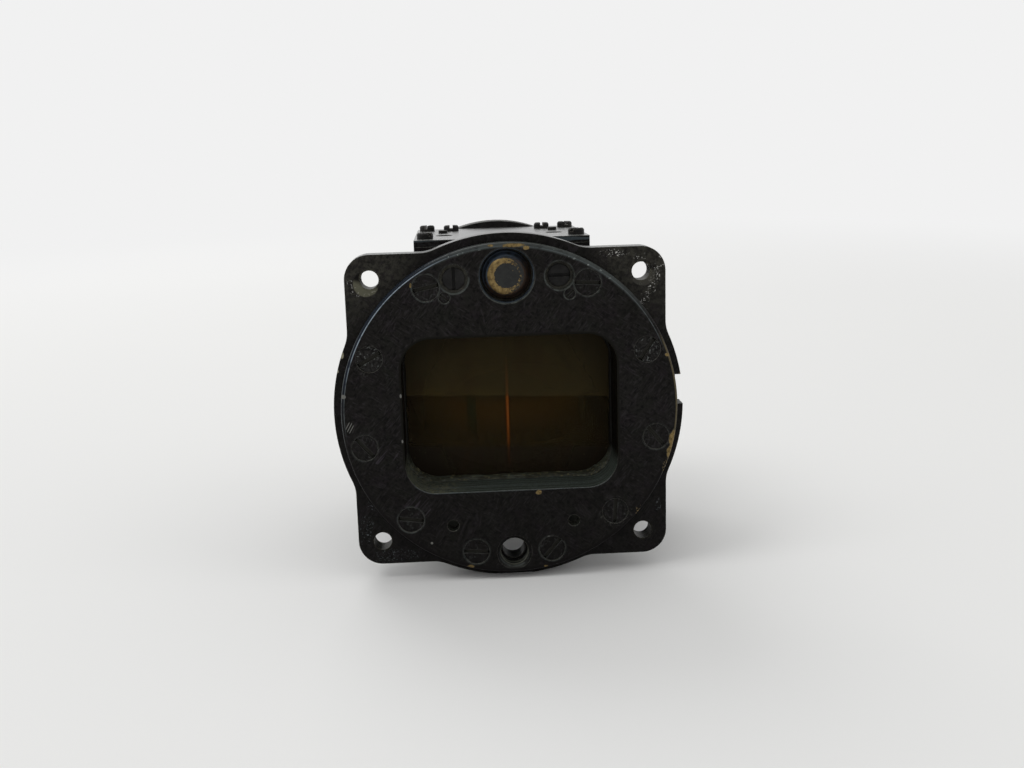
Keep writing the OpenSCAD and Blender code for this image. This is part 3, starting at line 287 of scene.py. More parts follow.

# the bezel, in millimetres from the middle of the front: patches are (x, z, half width, half height), arcs are
# (radius, width, from, to, fade) by clock angle, rim highlights are (x, z, radius, width, towards, share,
# strength)
bezel = {
    "windowDrop": 0.55, "windowFlat": (18.0, 11.35), "wallFrom": -4.12, "edge": (36.6, 38.9),
    "chips": [(1.6, 38.6, 2.6, 0.45), (4.6, 38.0, 0.7, 0.45), (-3.4, 38.7, 0.6, 0.25), (36.9, 12.2, 0.7, 0.4),
              (-21.9, 30.3, 0.25, 0.6), (-10.6, -37.4, 0.9, 0.45), (6.1, -19.7, 0.7, 0.55),
              (7.4, -38.1, 0.5, 0.25)],
    "sideChips": [(38.3, -8.2, 1.2, 2.3), (37.6, -11.3, 1.0, 1.8), (37.3, -13.4, 0.45, 1.2)],
    "trail": [(36.5, -17.0, 1.0, 4.4), (30.0, -25.4, 0.9, 1.6)],
    "scratch": [(-37.4, -2.2, 1.0, 1.3)],
    "scored": [(-22.6, -22.4, 3.2, 3.6), (-29.5, -8.5, 3.0, 4.0)],
    "pale": [(-25.3, 4.8, 0.25, 0.5), (-25.4, -6.0, 0.2, 0.4), (-19.6, -31.1, 0.3, 0.3), (-38.5, 5.1, 0.6, 0.5),
             (8.4, -30.9, 0.5, 0.35), (9.6, -31.6, 0.3, 0.3)],
    "crust": [(-32.1, 13.6, 3.9, 4.2), (32.1, 13.6, 3.9, 4.2), (24.6, -25.2, 4.4, 3.9)],
    "arcs": {"deep": (39.1, 0.75, -84, -16, 12), "sky": (38.8, 0.80, -24, 50, 12),
             "bright": (38.62, 0.13, -72, -26, 12), "faintLeft": (39.25, 0.16, -98, -62, 6),
             "faint": (38.55, 0.13, -94, 66, 6), "sparks": (38.6, 0.5, -30, 40, 8),
             "warm": (39.0, 0.30, 66, 100, 4)},
    "rims": [(-12.07, 31.4, 3.42, 0.30, 160, 0.15, 1.0), (12.07, 31.4, 3.42, 0.26, 200, 0.5, 1.0),
             (0, 31.8, 6.4, 0.30, 180, 0.3, 1.0), (0, -34.3, 3.5, 0.36, 190, 0.2, 1.3),
             (-14.35, 27.2, 1.36, 0.26, 190, 0.4, 0.7), (14.35, 27.2, 1.36, 0.26, 190, 0.4, 0.9)],
    "screwCircle": 34.9, "screwRim": (3.22, 0.28, 200, 0.5),
    "screws": [(-32, 0.9), (32, 0.6), (-102, 0.35), (102, 0.35), (-136, 0.7), (-165, 0.5), (165, 0.5)],
    "bores": [(0, -34.3, 3.45), (-14.35, -27.0, 1.6), (14.35, -27.0, 1.6), (-12.07, 31.4, 3.4),
              (12.07, 31.4, 3.4)],
    "recess": (0, 31.8, 6.5),
    "tones": {
        "scored": (0.034, 0.029, 0.035), "sill": (0.023, 0.027, 0.0215), "sillRidge": (0.060, 0.073, 0.064),
        "sillGrit": (0.118, 0.112, 0.072), "windowEdgeShade": (0.0045, 0.0042, 0.0028),
        "wall": (0.0030, 0.0025, 0.0018), "deep": (0.0085, 0.0125, 0.0210), "sky": (0.050, 0.057, 0.055),
        "faint": (0.068, 0.078, 0.080),
        "lipHighlight": (0.105, 0.125, 0.130), "bright": (0.26, 0.31, 0.36), "beneath": (0.0042, 0.0034, 0.0034),
        "sparks": (0.20, 0.22, 0.21), "warm": (0.110, 0.090, 0.050), "crust": (0.040, 0.040, 0.036),
        "rim": (0.058, 0.066, 0.062), "bore": (0.012, 0.014, 0.012), "boreStep": (0.080, 0.082, 0.066),
        "recess": (0.016, 0.022, 0.031), "recessStep": (0.060, 0.079, 0.104), "pale": (0.13, 0.13, 0.12)},
}


def bezelMarks(f, colour, ragged):
    tones = bezel["tones"]
    arc = {name: f.arc(*row) for name, row in bezel["arcs"].items()}
    front = f.step(f.y, -3.3, -3.9)
    inside = f.step(f.y, -4.1, -3.7)
    breaks = f.step(f.noise(0.45, 3, 0.6), 0.30, 0.52) * 0.7 + 0.3
    pastX, pastZ = ((abs(along) - flat).most(0.0) for along, flat in zip(
        (f.x, f.z + bezel["windowDrop"]), bezel["windowFlat"]))
    beyond = (pastX ** 2 + pastZ ** 2) ** 0.5  # the window's outline is 7 mm past its straight parts

    # chips and scratches
    edge = f.step(f.fromAxis(0, 0) + ragged * 0.5, *bezel["edge"])
    chips = f.patches(bezel["chips"], ragged * 0.8) * front
    chips = chips.most(f.patches(bezel["sideChips"], ragged * 0.6))
    trail = f.patches(bezel["trail"], ragged * 0.4)
    trail = trail * f.step(f.noise(1.5, 4, 0.6), 0.52, 0.58) * edge.most(f.step(f.z, -23.0, -24.0))
    stripe = (f.x * 0.87 - f.z * 0.5) * 1.7
    scratch = f.patches(bezel["scratch"], ragged * 0.4) * f.step(stripe.zigzag(0.5), 0.30, 0.40)
    scored = f.patches(bezel["scored"], ragged * 0.8)
    scored = scored * f.step(f.noise(1.0, 2, 0.5, f.stretched((2.4, 0.6, 0.10), (0, 42, 0))), 0.54, 0.60)
    colour = f.blend(scored * 0.7 * front, colour, tones["scored"])
    pale = f.patches(bezel["pale"], ragged * 0.4)

    # the opening's walls in painted shade, and the ridges along its sill
    wall = f.step(f.y, bezel["wallFrom"], -4.0) * f.step(beyond, 9.2, 9.0)
    wave = f.y * 0.62 + (f.noise(0.16, 3) - 0.5) * 1.1
    fold = wave.zigzag(0.5) * 2 + (f.noise(1.6, 3, 0.6) - 0.5) * 1.3
    ridge = f.blend(f.step(fold, 0.15, 1.10), tones["sill"], tones["sillRidge"])
    grit = f.step(f.noise(1.4, 4, 0.7), 0.46, 0.58)
    ridge = f.blend(f.step(f.x, -9, -18) * grit * 0.75, ridge, tones["sillGrit"])
    sill = f.step(f.z, -10.5, -15.0)
    # painted shade on the front round the window's top and sides
    colour = f.blend(f.step(beyond, 7.7, 7.3) * (1 - sill), colour, tones["windowEdgeShade"])
    colour = f.blend(wall, colour, f.blend(sill, tones["wall"], ridge))

    # painted highlights and painted reflections along the rounded edge, a painted highlight on the window's
    # lower lip, and painted shade beneath the edge
    colour = f.blend(arc["deep"] * 0.9, colour, tones["deep"])
    colour = f.blend(arc["sky"] * (breaks * 0.7 + 0.2), colour, tones["sky"])
    # a painted highlight along the window's lower lip
    lipHighlight = f.step(f.edges(0.45), 0.1, 0.4) * f.step(beyond, 8.0, 7.8) * f.step(f.z, -15.0, -18.0)
    colour = f.blend(arc["faintLeft"].most(arc["faint"]) * breaks, colour, tones["faint"])
    colour = f.blend(lipHighlight, colour, tones["lipHighlight"])
    colour = f.blend(arc["bright"] * breaks, colour, tones["bright"])
    beneath = f.step(abs(f.clock()), 100, 114) * f.step(f.fromAxis(0, 0), 38.0, 38.5)
    colour = f.blend(beneath * 0.85, colour, tones["beneath"])
    colour = f.blend(arc["sparks"] * f.step(f.noise(1.5, 2), 0.67, 0.70), colour, tones["sparks"])
    colour = f.blend(arc["warm"] * breaks * 0.8, colour, tones["warm"])

    # lumps of old paint, and painted highlights on the rims round the openings and screws
    crust = f.patches(bezel["crust"], ragged * 0.4) * f.step(f.noise(0.9, 5, 0.7, None, 1.2), 0.55, 0.64)
    colour = f.blend(crust * 0.6 * front, colour, tones["crust"])
    broken = f.step(f.noise(0.8, 3, 0.6), 0.30, 0.6)
    rims = [f.ring(*row) * strength for *row, strength in bezel["rims"]]
    for degrees, strength in bezel["screws"]:
        x, z = (bezel["screwCircle"] * part(math.radians(degrees)) for part in (math.sin, math.cos))
        rims.append(f.ring(x, z, *bezel["screwRim"]) * strength)
    colour = f.blend(strongest(rims) * broken * front * 0.8, colour, tones["rim"])

    # the walls of the holes and of the lamp recess, in painted light that is brighter in streaks
    steps = f.step(f.noise(1.0, 2, 0.5, f.stretched((0.1, 1.6, 0.1))), 0.42, 0.6)
    bores = strongest([f.step(f.fromAxis(x, z), radius, radius - 0.1) for x, z, radius in bezel["bores"]])
    colour = f.blend(bores * inside, colour, f.blend(steps, tones["bore"], tones["boreStep"]))
    x, z, radius = bezel["recess"]
    recess = f.step(f.fromAxis(x, z), radius, radius - 0.2)
    colour = f.blend(recess * inside, colour, f.blend(steps, tones["recess"], tones["recessStep"]))
    colour = f.blend(pale.most(scratch), colour, tones["pale"])
    return colour, chips.most(trail), (f.step(beyond, 8.0, 7.8) * (1 - sill)).most(beneath)


# scuffs, dust and painted glints on the flange's lobes, and painted light and painted shade on the rims and
# walls of its holes
flange = {
    "hole": 31.4325, "holeSize": (2.75, 2.3),
    "scuffs": [(-33.9, 29.1, 2.6, 1.4), (-35.6, 30.8, 1.2, 1.4), (25.2, 35.8, 3.4, 0.9), (31.4, 34.8, 2.0, 0.8),
               (34.5, 30.6, 1.4, 2.8), (32.2, 24.2, 1.2, 2.2), (33.6, 26.9, 1.2, 1.2), (36.4, 33.4, 0.9, 2.0)],
    "silverGlints": [(-35.2, -27.5, 1.8, 2.6), (-35.2, -31.0, 1.6, 1.6), (-29.6, -35.4, 4.6, 2.0),
               (-33.8, -22.0, 1.0, 2.6), (-25.0, -35.2, 3.0, 1.2), (35.2, -25.4, 0.7, 2.0)],
    "hollows": [(-32.25, 30.5, (0.090, 0.088, 0.062), 1.0), (31.9, 30.9, (0.045, 0.043, 0.036), 0.8)],
    "pale": [(-38.8, 14.2, 0.6, 0.9), (-39.9, 10.4, 0.3, 0.4)],
    "chips": [(40.9, 6.9, 0.5, 0.4)],
    "tones": {
        "dust": (0.036, 0.0345, 0.0275), "silverGlints": (0.085, 0.095, 0.10), "scuff": (0.45, 0.445, 0.42),
        "hollow": (0.0035, 0.003, 0.0025), "hollowFleck": (0.32, 0.31, 0.26), "wallLow": (0.011, 0.010, 0.005),
        "wallHigh": (0.055, 0.052, 0.036), "pale": (0.30, 0.28, 0.20)},
}


def flangeMarks(f, colour, ragged):
    tones = flange["tones"]
    front = f.step(f.y, 0.6, 0.1)
    inside = f.step(f.y, 0.05, 0.4)
    dust = f.step(f.noise(0.8, 5, 0.72), 0.40, 0.62) * 0.85 + 0.15
    lobes = f.step(f.z, 12, 34) * f.step(abs(f.x), 17, 27)
    colour = f.blend(lobes * dust * front * 0.85, colour, tones["dust"])
    # painted glints on the lobes, mostly the lower left
    silverGlints = f.patches(flange["silverGlints"], ragged * 0.35) * f.step(f.noise(1.3, 4, 0.65, None, 2.2), 0.59, 0.63)
    colour = f.blend(silverGlints * front * 0.8, colour, tones["silverGlints"])
    fleck = f.step(f.noise(1.0, 4, 0.65, None, 2.2), 0.59, 0.62)
    colour = f.blend(f.patches(flange["scuffs"], ragged * 0.35) * fleck * front, colour, tones["scuff"])
    for x, z, lit, strength in flange["hollows"]:  # the rims of the upper holes: painted shade in their upper part and painted light in their lower part, as if lit from above, with light flecks
        hollow = f.fromAxis(x, z) + ragged * 0.22
        lean = z - abs(x) * 0.35
        under = f.step(f.z - f.x * 0.35 * math.copysign(1, x), lean + 0.6, lean - 0.9)
        # the colour called worn here is painted light and painted shade
        worn = f.blend(under, tones["hollow"], lit)
        flecked = fleck * 0.6 * f.step(hollow, 1.9, 2.6) * f.step(f.z, z, z - 0.8)
        worn = f.blend(flecked, worn, tones["hollowFleck"])
        colour = f.blend(f.step(hollow, 3.05, 2.8) * front * strength, colour, worn)
    # painted light on the rims and walls of the upper holes, painted shade on those of the lower
    corners = [(x * flange["hole"], z * flange["hole"]) for x in (-1, 1) for z in (-1, 1)]
    holes = strongest([f.step(f.fromAxis(*corner) + ragged * 0.3, *flange["holeSize"]) for corner in corners])
    holes = holes * (front * f.step(f.noise(1.1, 3), 0.42, 0.6) * 0.7).most(inside * 0.9)
    colour = f.blend(holes, colour, f.blend(f.step(f.z, -20, 20), tones["wallLow"], tones["wallHigh"]))
    pale = f.patches(flange["pale"], ragged * 0.5) * f.step(f.y, 1.9, 1.1)
    colour = f.blend(pale, colour, tones["pale"])
    return colour, f.patches(flange["chips"], ragged * 0.5) * f.step(f.y, 3.2, 1.2), 0.0


# the bezel's screws: lumps of paint over the two beside the window, painted glints, and painted light in the
# slots
faceScrew = {"covered": [(-32.1, 13.6, 3.4, 3.4), (32.1, 13.6, 3.4, 3.4)], "slotFrom": -3.95,
             "lump": (0.0032, 0.0028, 0.0025), "lumpTop": (0.0185, 0.0175, 0.0165),
             "glint": (0.105, 0.112, 0.108), "slot": (0.034, 0.033, 0.027)}


def screwMarks(f, colour, ragged):
    over = f.patches(faceScrew["covered"], 0.0)
    lumps = f.step(f.noise(0.8, 5, 0.7, None, 1.5), 0.40, 0.60)
    colour = f.blend(over * 0.9, colour, f.blend(lumps, faceScrew["lump"], faceScrew["lumpTop"]))
    glint = f.step(f.noise(1.1, 3, 0.6, None, 1.5), 0.60, 0.63)
    colour = f.blend(glint * (over * 0.6 + 0.2), colour, faceScrew["glint"])
    slot = f.step(f.y, faceScrew["slotFrom"], faceScrew["slotFrom"] + 0.2)
    return f.blend(slot * 0.8, colour, faceScrew["slot"]), 0.0, 0.75


# painted highlights in lines along the sides of the stacked cover
coverLineHighlights = {"colour": (0.062, 0.078, 0.086), "strength": 0.85}


def coverMarks(f, colour, ragged):
    lines = f.step(f.noise(1.0, 3, 0.6, f.stretched((0.05, 0.05, 1.5))), 0.50, 0.60)
    side = 1 - f.facingUp(0.2, 0.6)
    return f.blend(lines * side * coverLineHighlights["strength"], colour, coverLineHighlights["colour"]), 0.0, 0.0


# bare metal under a cloudy tarnish, turned or with a rolled thread
def metal(name, look):
    f = Finish(name)
    cloud = f.step(f.noise(0.35, 4, 0.6) + f.noise(2.5, 2) * 0.25, 0.45, 0.85)
    fine = f.noise(6.0, 3, 0.6)
    lines = f.noise(9.0, 3, 0.6, f.stretched((0.25, 2.2, 0.25)))
    height, depth = fine * 0.5 + lines * 0.6, 0.03
    if "thread" in look:  # one ridge for each pitch of depth
        height, depth = height + (f.y / look["thread"]).zigzag(0.5) * 6.0, 0.08
    rough = look["rough"] + (cloud - 0.4) * 0.22 + (fine - 0.5) * 0.15
    colour = f.blend(cloud * 0.75, look["clean"], look["tarnish"])
    return f.close(Base_Color=colour, Metallic=1.0, Roughness=rough, Normal=f.bump(height, 0.25, depth))


# blackened steel, with a painted highlight and wear along its edges
def blackenedSteel(name, look):
    f = Finish(name)
    corner = f.edges(0.22)
    cloud = f.noise(0.5, 4, 0.6)
    grain = f.noise(3.5, 4, 0.6)
    colour = f.blend(f.step(cloud, 0.35, 0.7), look["dark"], look["light"])
    rubbed = f.step(corner, 0.05, 0.6) * f.step(f.noise(0.8, 3), 0.35, 0.65)
    colour = f.blend(rubbed * look["rub"], colour, look["rubbed"])
    worn = f.step(corner * 0.6 + grain * 0.35 + cloud * 0.35, look["wearFrom"], look["wearFrom"] + 0.12)
    colour = f.blend(worn, colour, look["worn"])
    rough = 0.46 + (grain - 0.5) * 0.35 - worn * 0.12
    return f.close(Base_Color=colour, Roughness=rough, Metallic=worn * 0.7, Specular_IOR_Level=look["gloss"],
                   Normal=f.bump(grain + cloud * 0.8, 0.4, 0.06, f.rounded(0.2)))


# the lamp cap's black paint, worn to brass in a ragged ring round its flat middle, with a painted reflection on
# its sloping side and painted highlights on its rims
def capPaint(name, look):
    f = Finish(name)
    x, z = look["axis"]
    ragged = (f.noise(1.1, 4, 0.7) - 0.5) * 1.6
    fray = (f.noise(2.8, 3, 0.6) - 0.5) * 1.1
    away = f.fromAxis(x, z)
    face = f.step(f.y, -3.5, -3.8)
    lean = ((f.x - x) * -0.85 - (f.z - z) * 0.22) * 0.25  # 1 at the left, -1 at the right
    ring = f.step(away + ragged * 0.30 + fray * 0.6, *look["ringFrom"])
    ring = ring * f.step(away + fray * 0.35 - lean * 0.55, *look["ringTo"])
    foot = f.step(f.z - z, -1.8, -3.4)
    worn = ring * face * (0.66 + lean * 0.30 - foot * 0.13) + (f.noise(2.6, 4, 0.65) - 0.5) * 0.75
    worn = f.step(worn, 0.48, 0.58)
    spots = f.step(f.noise(2.6, 2), 0.72, 0.75) * f.step(away, 3.0, 2.4) * face
    grain = f.noise(2.0, 5, 0.65)
    cover = f.blend(f.step(f.noise(0.6, 3), 0.4, 0.65), look["dark"], look["light"])
    cover = f.blend(f.step(grain, 0.40, 0.62) * face * 0.8, cover, look["middle"])
    # a painted reflection on the sloping side: bluish above, reddish below
    above = f.step(f.z - z - (f.x - x) * 0.5, -1.0, 4.0)
    slope = f.step(away, *look["slope"]) * (1 - f.step(f.y, -1.0, -0.6))
    shade = f.blend(above, look["rust"], look["sky"])
    cover = f.blend(slope * f.step(f.noise(0.9, 3), 0.3, 0.6), cover, shade)
    # painted highlights on the rims
    rims = strongest([f.ring(x, z, *rim) for rim in look["rims"]])
    cover = f.blend(rims * 0.8, cover, look["line"])
    cover = f.blend(f.ring(x, z, *look["warmRim"]) * face * 0.7, cover, look["rust"])
    brass = f.blend(f.step(f.noise(1.4, 4), 0.35, 0.7), look["brass"], look["brassDark"])
    colour = f.blend(spots * 0.6, f.blend(worn, cover, brass), look["brass"])
    height = grain * 0.6 + f.noise(0.8, 2) * 0.8 - worn * 0.5
    rough = 0.36 + worn * 0.12 + (grain - 0.5) * 0.25
    return f.close(Base_Color=colour, Metallic=worn * 0.6, Roughness=rough, Specular_IOR_Level=0.25,
                   Normal=f.bump(height, 0.35, 0.06, f.rounded(0.3)))


# the window: an amber film, hazier above one level line with a painted glow just above it, and lower in tone
# below another, with painted shade towards its edges and in a wedge near its right side
def windowGlass(name, look):
    f = Finish(name)
    level = f.z + f.x * look["tilt"] + (f.noise(0.12, 2) - 0.5) * 0.25
    haze = f.step(level, look["line"] - 0.22, look["line"] + 0.22)
    # a painted glow just above the level line
    tide = haze * f.step(level, look["line"] + 3.6, look["line"] + 0.2)
    low = f.step(level, look["lowLine"] + 0.35, look["lowLine"] - 0.35)
    smear = f.noise(0.22, 4, 0.6, f.stretched((1.0, 1.0, 0.35), (0, 20, 0)))
    shade = f.step(f.fromAxis(*look["opening"]), 0.68, 1.12)
    lower = f.step(level, -3.5, look["lowLine"])
    bloom = f.noise(0.9, 4, 0.65, f.stretched((1.0, 1.0, 0.4), (0, 4, 0)))
    colour = f.blend(haze, look["middle"], look["upper"])
    colour = f.blend(tide * (f.step(f.x, 4, -8) * 0.6 + 0.35), colour, look["tide"])
    colour = f.blend(low, colour, look["lower"])
    colour = f.blend(f.step(smear, 0.50, 0.70) * 0.5, colour, look["smear"])
    colour = f.blend(f.step(bloom, 0.50, 0.66) * 0.35, colour, look["green"])
    # painted shade in a slanting wedge near the right side, and a dark slanting streak higher up
    slant = f.x + (f.z - 0.7) * 0.46
    wedge = f.step(slant, *look["wedge"][0]) * f.step(slant, *look["wedge"][1])
    wedge = wedge * f.step(f.z, 1.8, 0.0) * f.step(f.z, -10.4, -6.0)
    x, z = look["streak"]
    streak = f.step(abs(f.x + (f.z - z) * 0.61 - x), 1.3, 0.3) * f.step(f.z, 5.5, 8.0)
    dark = (wedge * 0.5).most(streak * 0.3)
    colour = f.blend(dark.most(shade * 0.5), colour, look["rim"])
    motes = f.step(f.noise(1.4, 1), 0.745, 0.765)
    colour = f.blend(motes * 0.8, colour, look["mote"])
    sides = f.step(abs(f.x), 12, 18)
    film = look["film"] + haze * 0.22 + lower * 0.12 + low * 0.14 + dark * 0.2 + shade * 0.12 + sides * 0.10
    film = film + (smear - 0.5) * 0.08
    return f.close(Base_Color=colour, Alpha=film, Roughness=0.30 + smear * 0.12, IOR=1.5,
                   Specular_IOR_Level=look["gloss"], Normal=f.bump(smear, 0.02, 0.02))


# small clear pieces: bulb, light window and jewel
def clearGlass(name, look):
    f = Finish(name)
    cloud = f.noise(0.8, 3)
    return f.close(Base_Color=f.blend(cloud, look["colour"], look["dark"]), Roughness=0.06 + cloud * 0.1,
                   Alpha=look["alpha"] + (cloud - 0.5) * 0.2, IOR=1.5)


# old sealant, fibre or grime: cloudy, drawn out in lines, with grit on it
def sealant(name, look):
    f = Finish(name)
    cloud = f.step(f.noise(0.5, 4, 0.6), 0.35, 0.7)
    pores = f.noise(2.5, 3, 0.6)
    drawn = f.noise(1.0, 3, 0.6, f.stretched((0.18, 2.6, 2.2)), 0.3)
    base = f.blend(cloud, look["dark"], look["light"])
    base = f.blend(f.step(drawn, 0.52, 0.64) * 0.8, base, look["line"])
    grit = f.step(f.noise(1.3, 4, 0.7), 0.56, 0.64)
    base = f.blend(grit * look["grit"], base, look["gritTone"])
    if "below" in look:  # painted shade where it lies above a height
        base = f.blend(f.step(f.z, look["below"] - 4.5, look["below"]), base, look["shade"])
    return f.close(Base_Color=base, Roughness=0.55 + (pores - 0.5) * 0.25, Specular_IOR_Level=look["gloss"],
                   Normal=f.bump(pores * 0.6 + cloud * 0.6 + drawn * 0.6, 0.4, 0.1))


# thin faded paint, which may have a painted glow, with painted shade outside it
def fadedPaint(name, look):
    f = Finish(name)
    cloud = f.step(f.noise(0.4, 4, 0.6), 0.35, 0.7)
    flakes = f.step(f.noise(1.8, 4, 0.7), 0.6, 0.66)
    base = f.blend(flakes * 0.6, f.blend(cloud, look["colour"], look["other"]), look["under"])
    glow = {}
    if "glow" in look:  # a painted glow and painted light, as if lit from behind: brightest between two heights, and along its core; painted shade elsewhere
        strong = f.step(f.z, look["from"] - look["fade"], look["from"] + look["fade"])
        strong = strong * f.step(f.z, look["to"] + look["fadeTop"], look["to"] - look["fadeTop"])
        if "core" in look:
            strong = strong * f.step(abs(f.x), look["core"] * 1.5, look["core"] * 0.7)
        else:  # fainter where the surface turns away
            strong = strong * (1 - f.node("ShaderNodeLayerWeight", None, {"Blend": 0.5}, out="Facing"))
        base = f.blend(1 - strong * 0.75, base, look["dull"])
        glow = {"Emission_Color": f.blend(strong, (0.0, 0.0, 0.0), look["glow"]), "Emission_Strength": 1.0}
    return f.close(Base_Color=base, Roughness=look["rough"] + (cloud - 0.5) * 0.1, Specular_IOR_Level=0.2,
                   Normal=f.bump(cloud * 0.4 - flakes * 0.6, 0.3, 0.06), **glow)


casting = {**paint, "slant": 70, "rays": 8}
blackened = {"dark": (0.0065, 0.0062, 0.006), "rubbed": (0.030, 0.032, 0.030), "worn": (0.11, 0.10, 0.08),
             "rub": 0.7, "gloss": 0.12}
polished = {"clean": (0.55, 0.40, 0.17), "tarnish": (0.26, 0.17, 0.07), "rough": 0.34}
behindGlass = {"rough": 0.6, "from": -7.6, "to": -1.2, "fade": 4.8, "fadeTop": 1.8,
               "dull": (0.014, 0.010, 0.004)}
makers = {
    "flangePaint": (blackPaint, {**paint, "rays": 14, "topDust": (0.080, 0.086, 0.080), "dusted": 0.7,
                                 "coat": 0.65, "coatFrom": 34.0}, flangeMarks),
    "casePaint": (blackPaint, casting),
    "bezelPaint": (blackPaint, {**paint, "roundness": 0.45}, bezelMarks),
    "rearPaint": (blackPaint, {**casting, "dark": (0.0085, 0.0080, 0.0074), "light": (0.0150, 0.0145, 0.0135),
                               "wearFrom": 0.69, "rub": 0.9}),
    "coverPaint": (blackPaint, {**casting, "slant": 10, "light": (0.016, 0.0155, 0.015), "wearFrom": 0.67,
                                "topDust": (0.085, 0.090, 0.083), "dusted": 0.75, "coat": 1.0,
                                "coatFrom": 20.0}, coverMarks),
    "screwPaint": (blackPaint, {**paint, "rubbed": (0.046, 0.050, 0.050), "rub": 0.8, "slant": 15}, screwMarks),
    "coverScrew": (blackenedSteel, {**blackened, "light": (0.02, 0.019, 0.017), "wearFrom": 0.86}),
    "adjusterSteel": (blackenedSteel, {**blackened, "light": (0.015, 0.0145, 0.014), "wearFrom": 0.93}),
    "capPaint": (capPaint, {
        "axis": (0, 31.8), "dark": (0.0060, 0.0062, 0.0062), "light": (0.0105, 0.0108, 0.0100),
        "middle": (0.0125, 0.0135, 0.0120), "rust": (0.030, 0.0165, 0.009), "sky": (0.0190, 0.0270, 0.0420),
        "line": (0.075, 0.095, 0.118), "brass": (0.22, 0.155, 0.060), "brassDark": (0.095, 0.062, 0.025),
        "ringFrom": (2.65, 2.95), "ringTo": (4.25, 4.05), "slope": (3.95, 4.3),
        "rims": [(4.55, 0.22, -45, 0.1), (5.35, 0.16, -45, 0.2)], "warmRim": (4.3, 0.55, 110, 0.0)}),
    "windowGlass": (windowGlass, {
        "opening": (0, -0.55, 25.5, 19.0), "line": 1.44, "lowLine": -11.1, "tilt": 0.041,
        "wedge": [(17.4, 19.2), (24.5, 21.5)], "streak": (11.4, 14.5),
        "middle": (0.0205, 0.0135, 0.0040), "upper": (0.0325, 0.0240, 0.0092), "tide": (0.0400, 0.0290, 0.0088),
        "lower": (0.0142, 0.0100, 0.0052), "smear": (0.0230, 0.0135, 0.0060), "green": (0.0200, 0.0205, 0.0080),
        "rim": (0.0060, 0.0046, 0.0034), "mote": (0.075, 0.064, 0.034), "film": 0.58, "gloss": 0.03}),
    "lightGlass": (clearGlass, {"colour": (0.35, 0.06, 0.03), "dark": (0.21, 0.035, 0.02), "alpha": 0.55}),
    "bulbGlass": (clearGlass, {"colour": (0.75, 0.72, 0.65), "dark": (0.45, 0.43, 0.39), "alpha": 0.3}),
    "sealant": (sealant, {
        "dark": (0.013, 0.0125, 0.0070), "light": (0.030, 0.032, 0.021), "line": (0.056, 0.064, 0.052),
        "grit": 0.8, "gritTone": (0.10, 0.090, 0.045), "gloss": 0.15, "below": -11.0,
        "shade": (0.0026, 0.0021, 0.0012)}),
    "grime": (sealant, {
        "dark": (0.010, 0.0093, 0.0065), "light": (0.021, 0.020, 0.0145), "line": (0.034, 0.033, 0.026),
        "grit": 0.6, "gritTone": (0.046, 0.042, 0.026), "gloss": 0.2}),
    "fibre": (sealant, {
        "dark": (0.05, 0.04, 0.028), "light": (0.085, 0.068, 0.045), "line": (0.04, 0.03, 0.02), "grit": 0.3,
        "gritTone": (0.03, 0.025, 0.02), "gloss": 0.2}),
    "lubberPaint": (fadedPaint, {
        "colour": (0.50, 0.13, 0.014), "other": (0.42, 0.10, 0.010), "under": (0.20, 0.05, 0.006), "rough": 0.5,
        "from": -15.0, "to": 6.0, "fade": 4.5, "fadeTop": 7.0, "core": 0.26, "glow": (0.44, 0.098, 0.008),
        "dull": (0.10, 0.03, 0.006)}),
    "cardPaint": (fadedPaint, {**behindGlass, "colour": (0.080, 0.046, 0.012), "other": (0.066, 0.038, 0.010),
                               "under": (0.040, 0.024, 0.007), "glow": (0.0330, 0.0130, 0.0012)}),
    "cardMark": (fadedPaint, {
        "colour": (0.0050, 0.0062, 0.0030), "other": (0.0040, 0.0048, 0.0024), "under": (0.007, 0.006, 0.003),
        "rough": 0.6, "from": -8.6, "to": -1.0, "fade": 3.8, "fadeTop": 1.4, "glow": (0.0006, 0.0090, 0.0030),
        "dull": (0.004, 0.005, 0.003)}),
    "cardTick": (fadedPaint, {**behindGlass, "colour": (0.050, 0.032, 0.009), "other": (0.042, 0.026, 0.008),
                              "under": (0.040, 0.024, 0.007), "glow": (0.0255, 0.0110, 0.0012)}),
    "insulator": (fadedPaint, {"colour": (0.10, 0.045, 0.02), "other": (0.16, 0.07, 0.03),
                               "under": (0.05, 0.022, 0.01), "rough": 0.5}),
    "floatMetal": (metal, {"clean": (0.045, 0.032, 0.013), "tarnish": (0.020, 0.014, 0.006), "rough": 0.55}),
    "brass": (metal, polished),
    "threadedBrass": (metal, {**polished, "thread": 0.7}),
    "agedBrass": (metal, {"clean": (0.17, 0.118, 0.050), "tarnish": (0.055, 0.040, 0.020), "rough": 0.5}),
    "bronze": (metal, {"clean": (0.45, 0.28, 0.12), "tarnish": (0.2, 0.11, 0.05), "rough": 0.38}),
    "copper": (metal, {"clean": (0.24, 0.115, 0.060), "tarnish": (0.075, 0.040, 0.024), "rough": 0.5}),
    "steel": (metal, {"clean": (0.48, 0.48, 0.49), "tarnish": (0.26, 0.25, 0.24), "rough": 0.3}),
    "magnet": (metal, {"clean": (0.20, 0.20, 0.21), "tarnish": (0.10, 0.095, 0.09), "rough": 0.42}),
    "jewel": (clearGlass, {"colour": (0.38, 0.03, 0.07), "dark": (0.23, 0.02, 0.045), "alpha": 0.85}),
}
finishes = {name: maker(name, *given) for name, (maker, *given) in makers.items()}

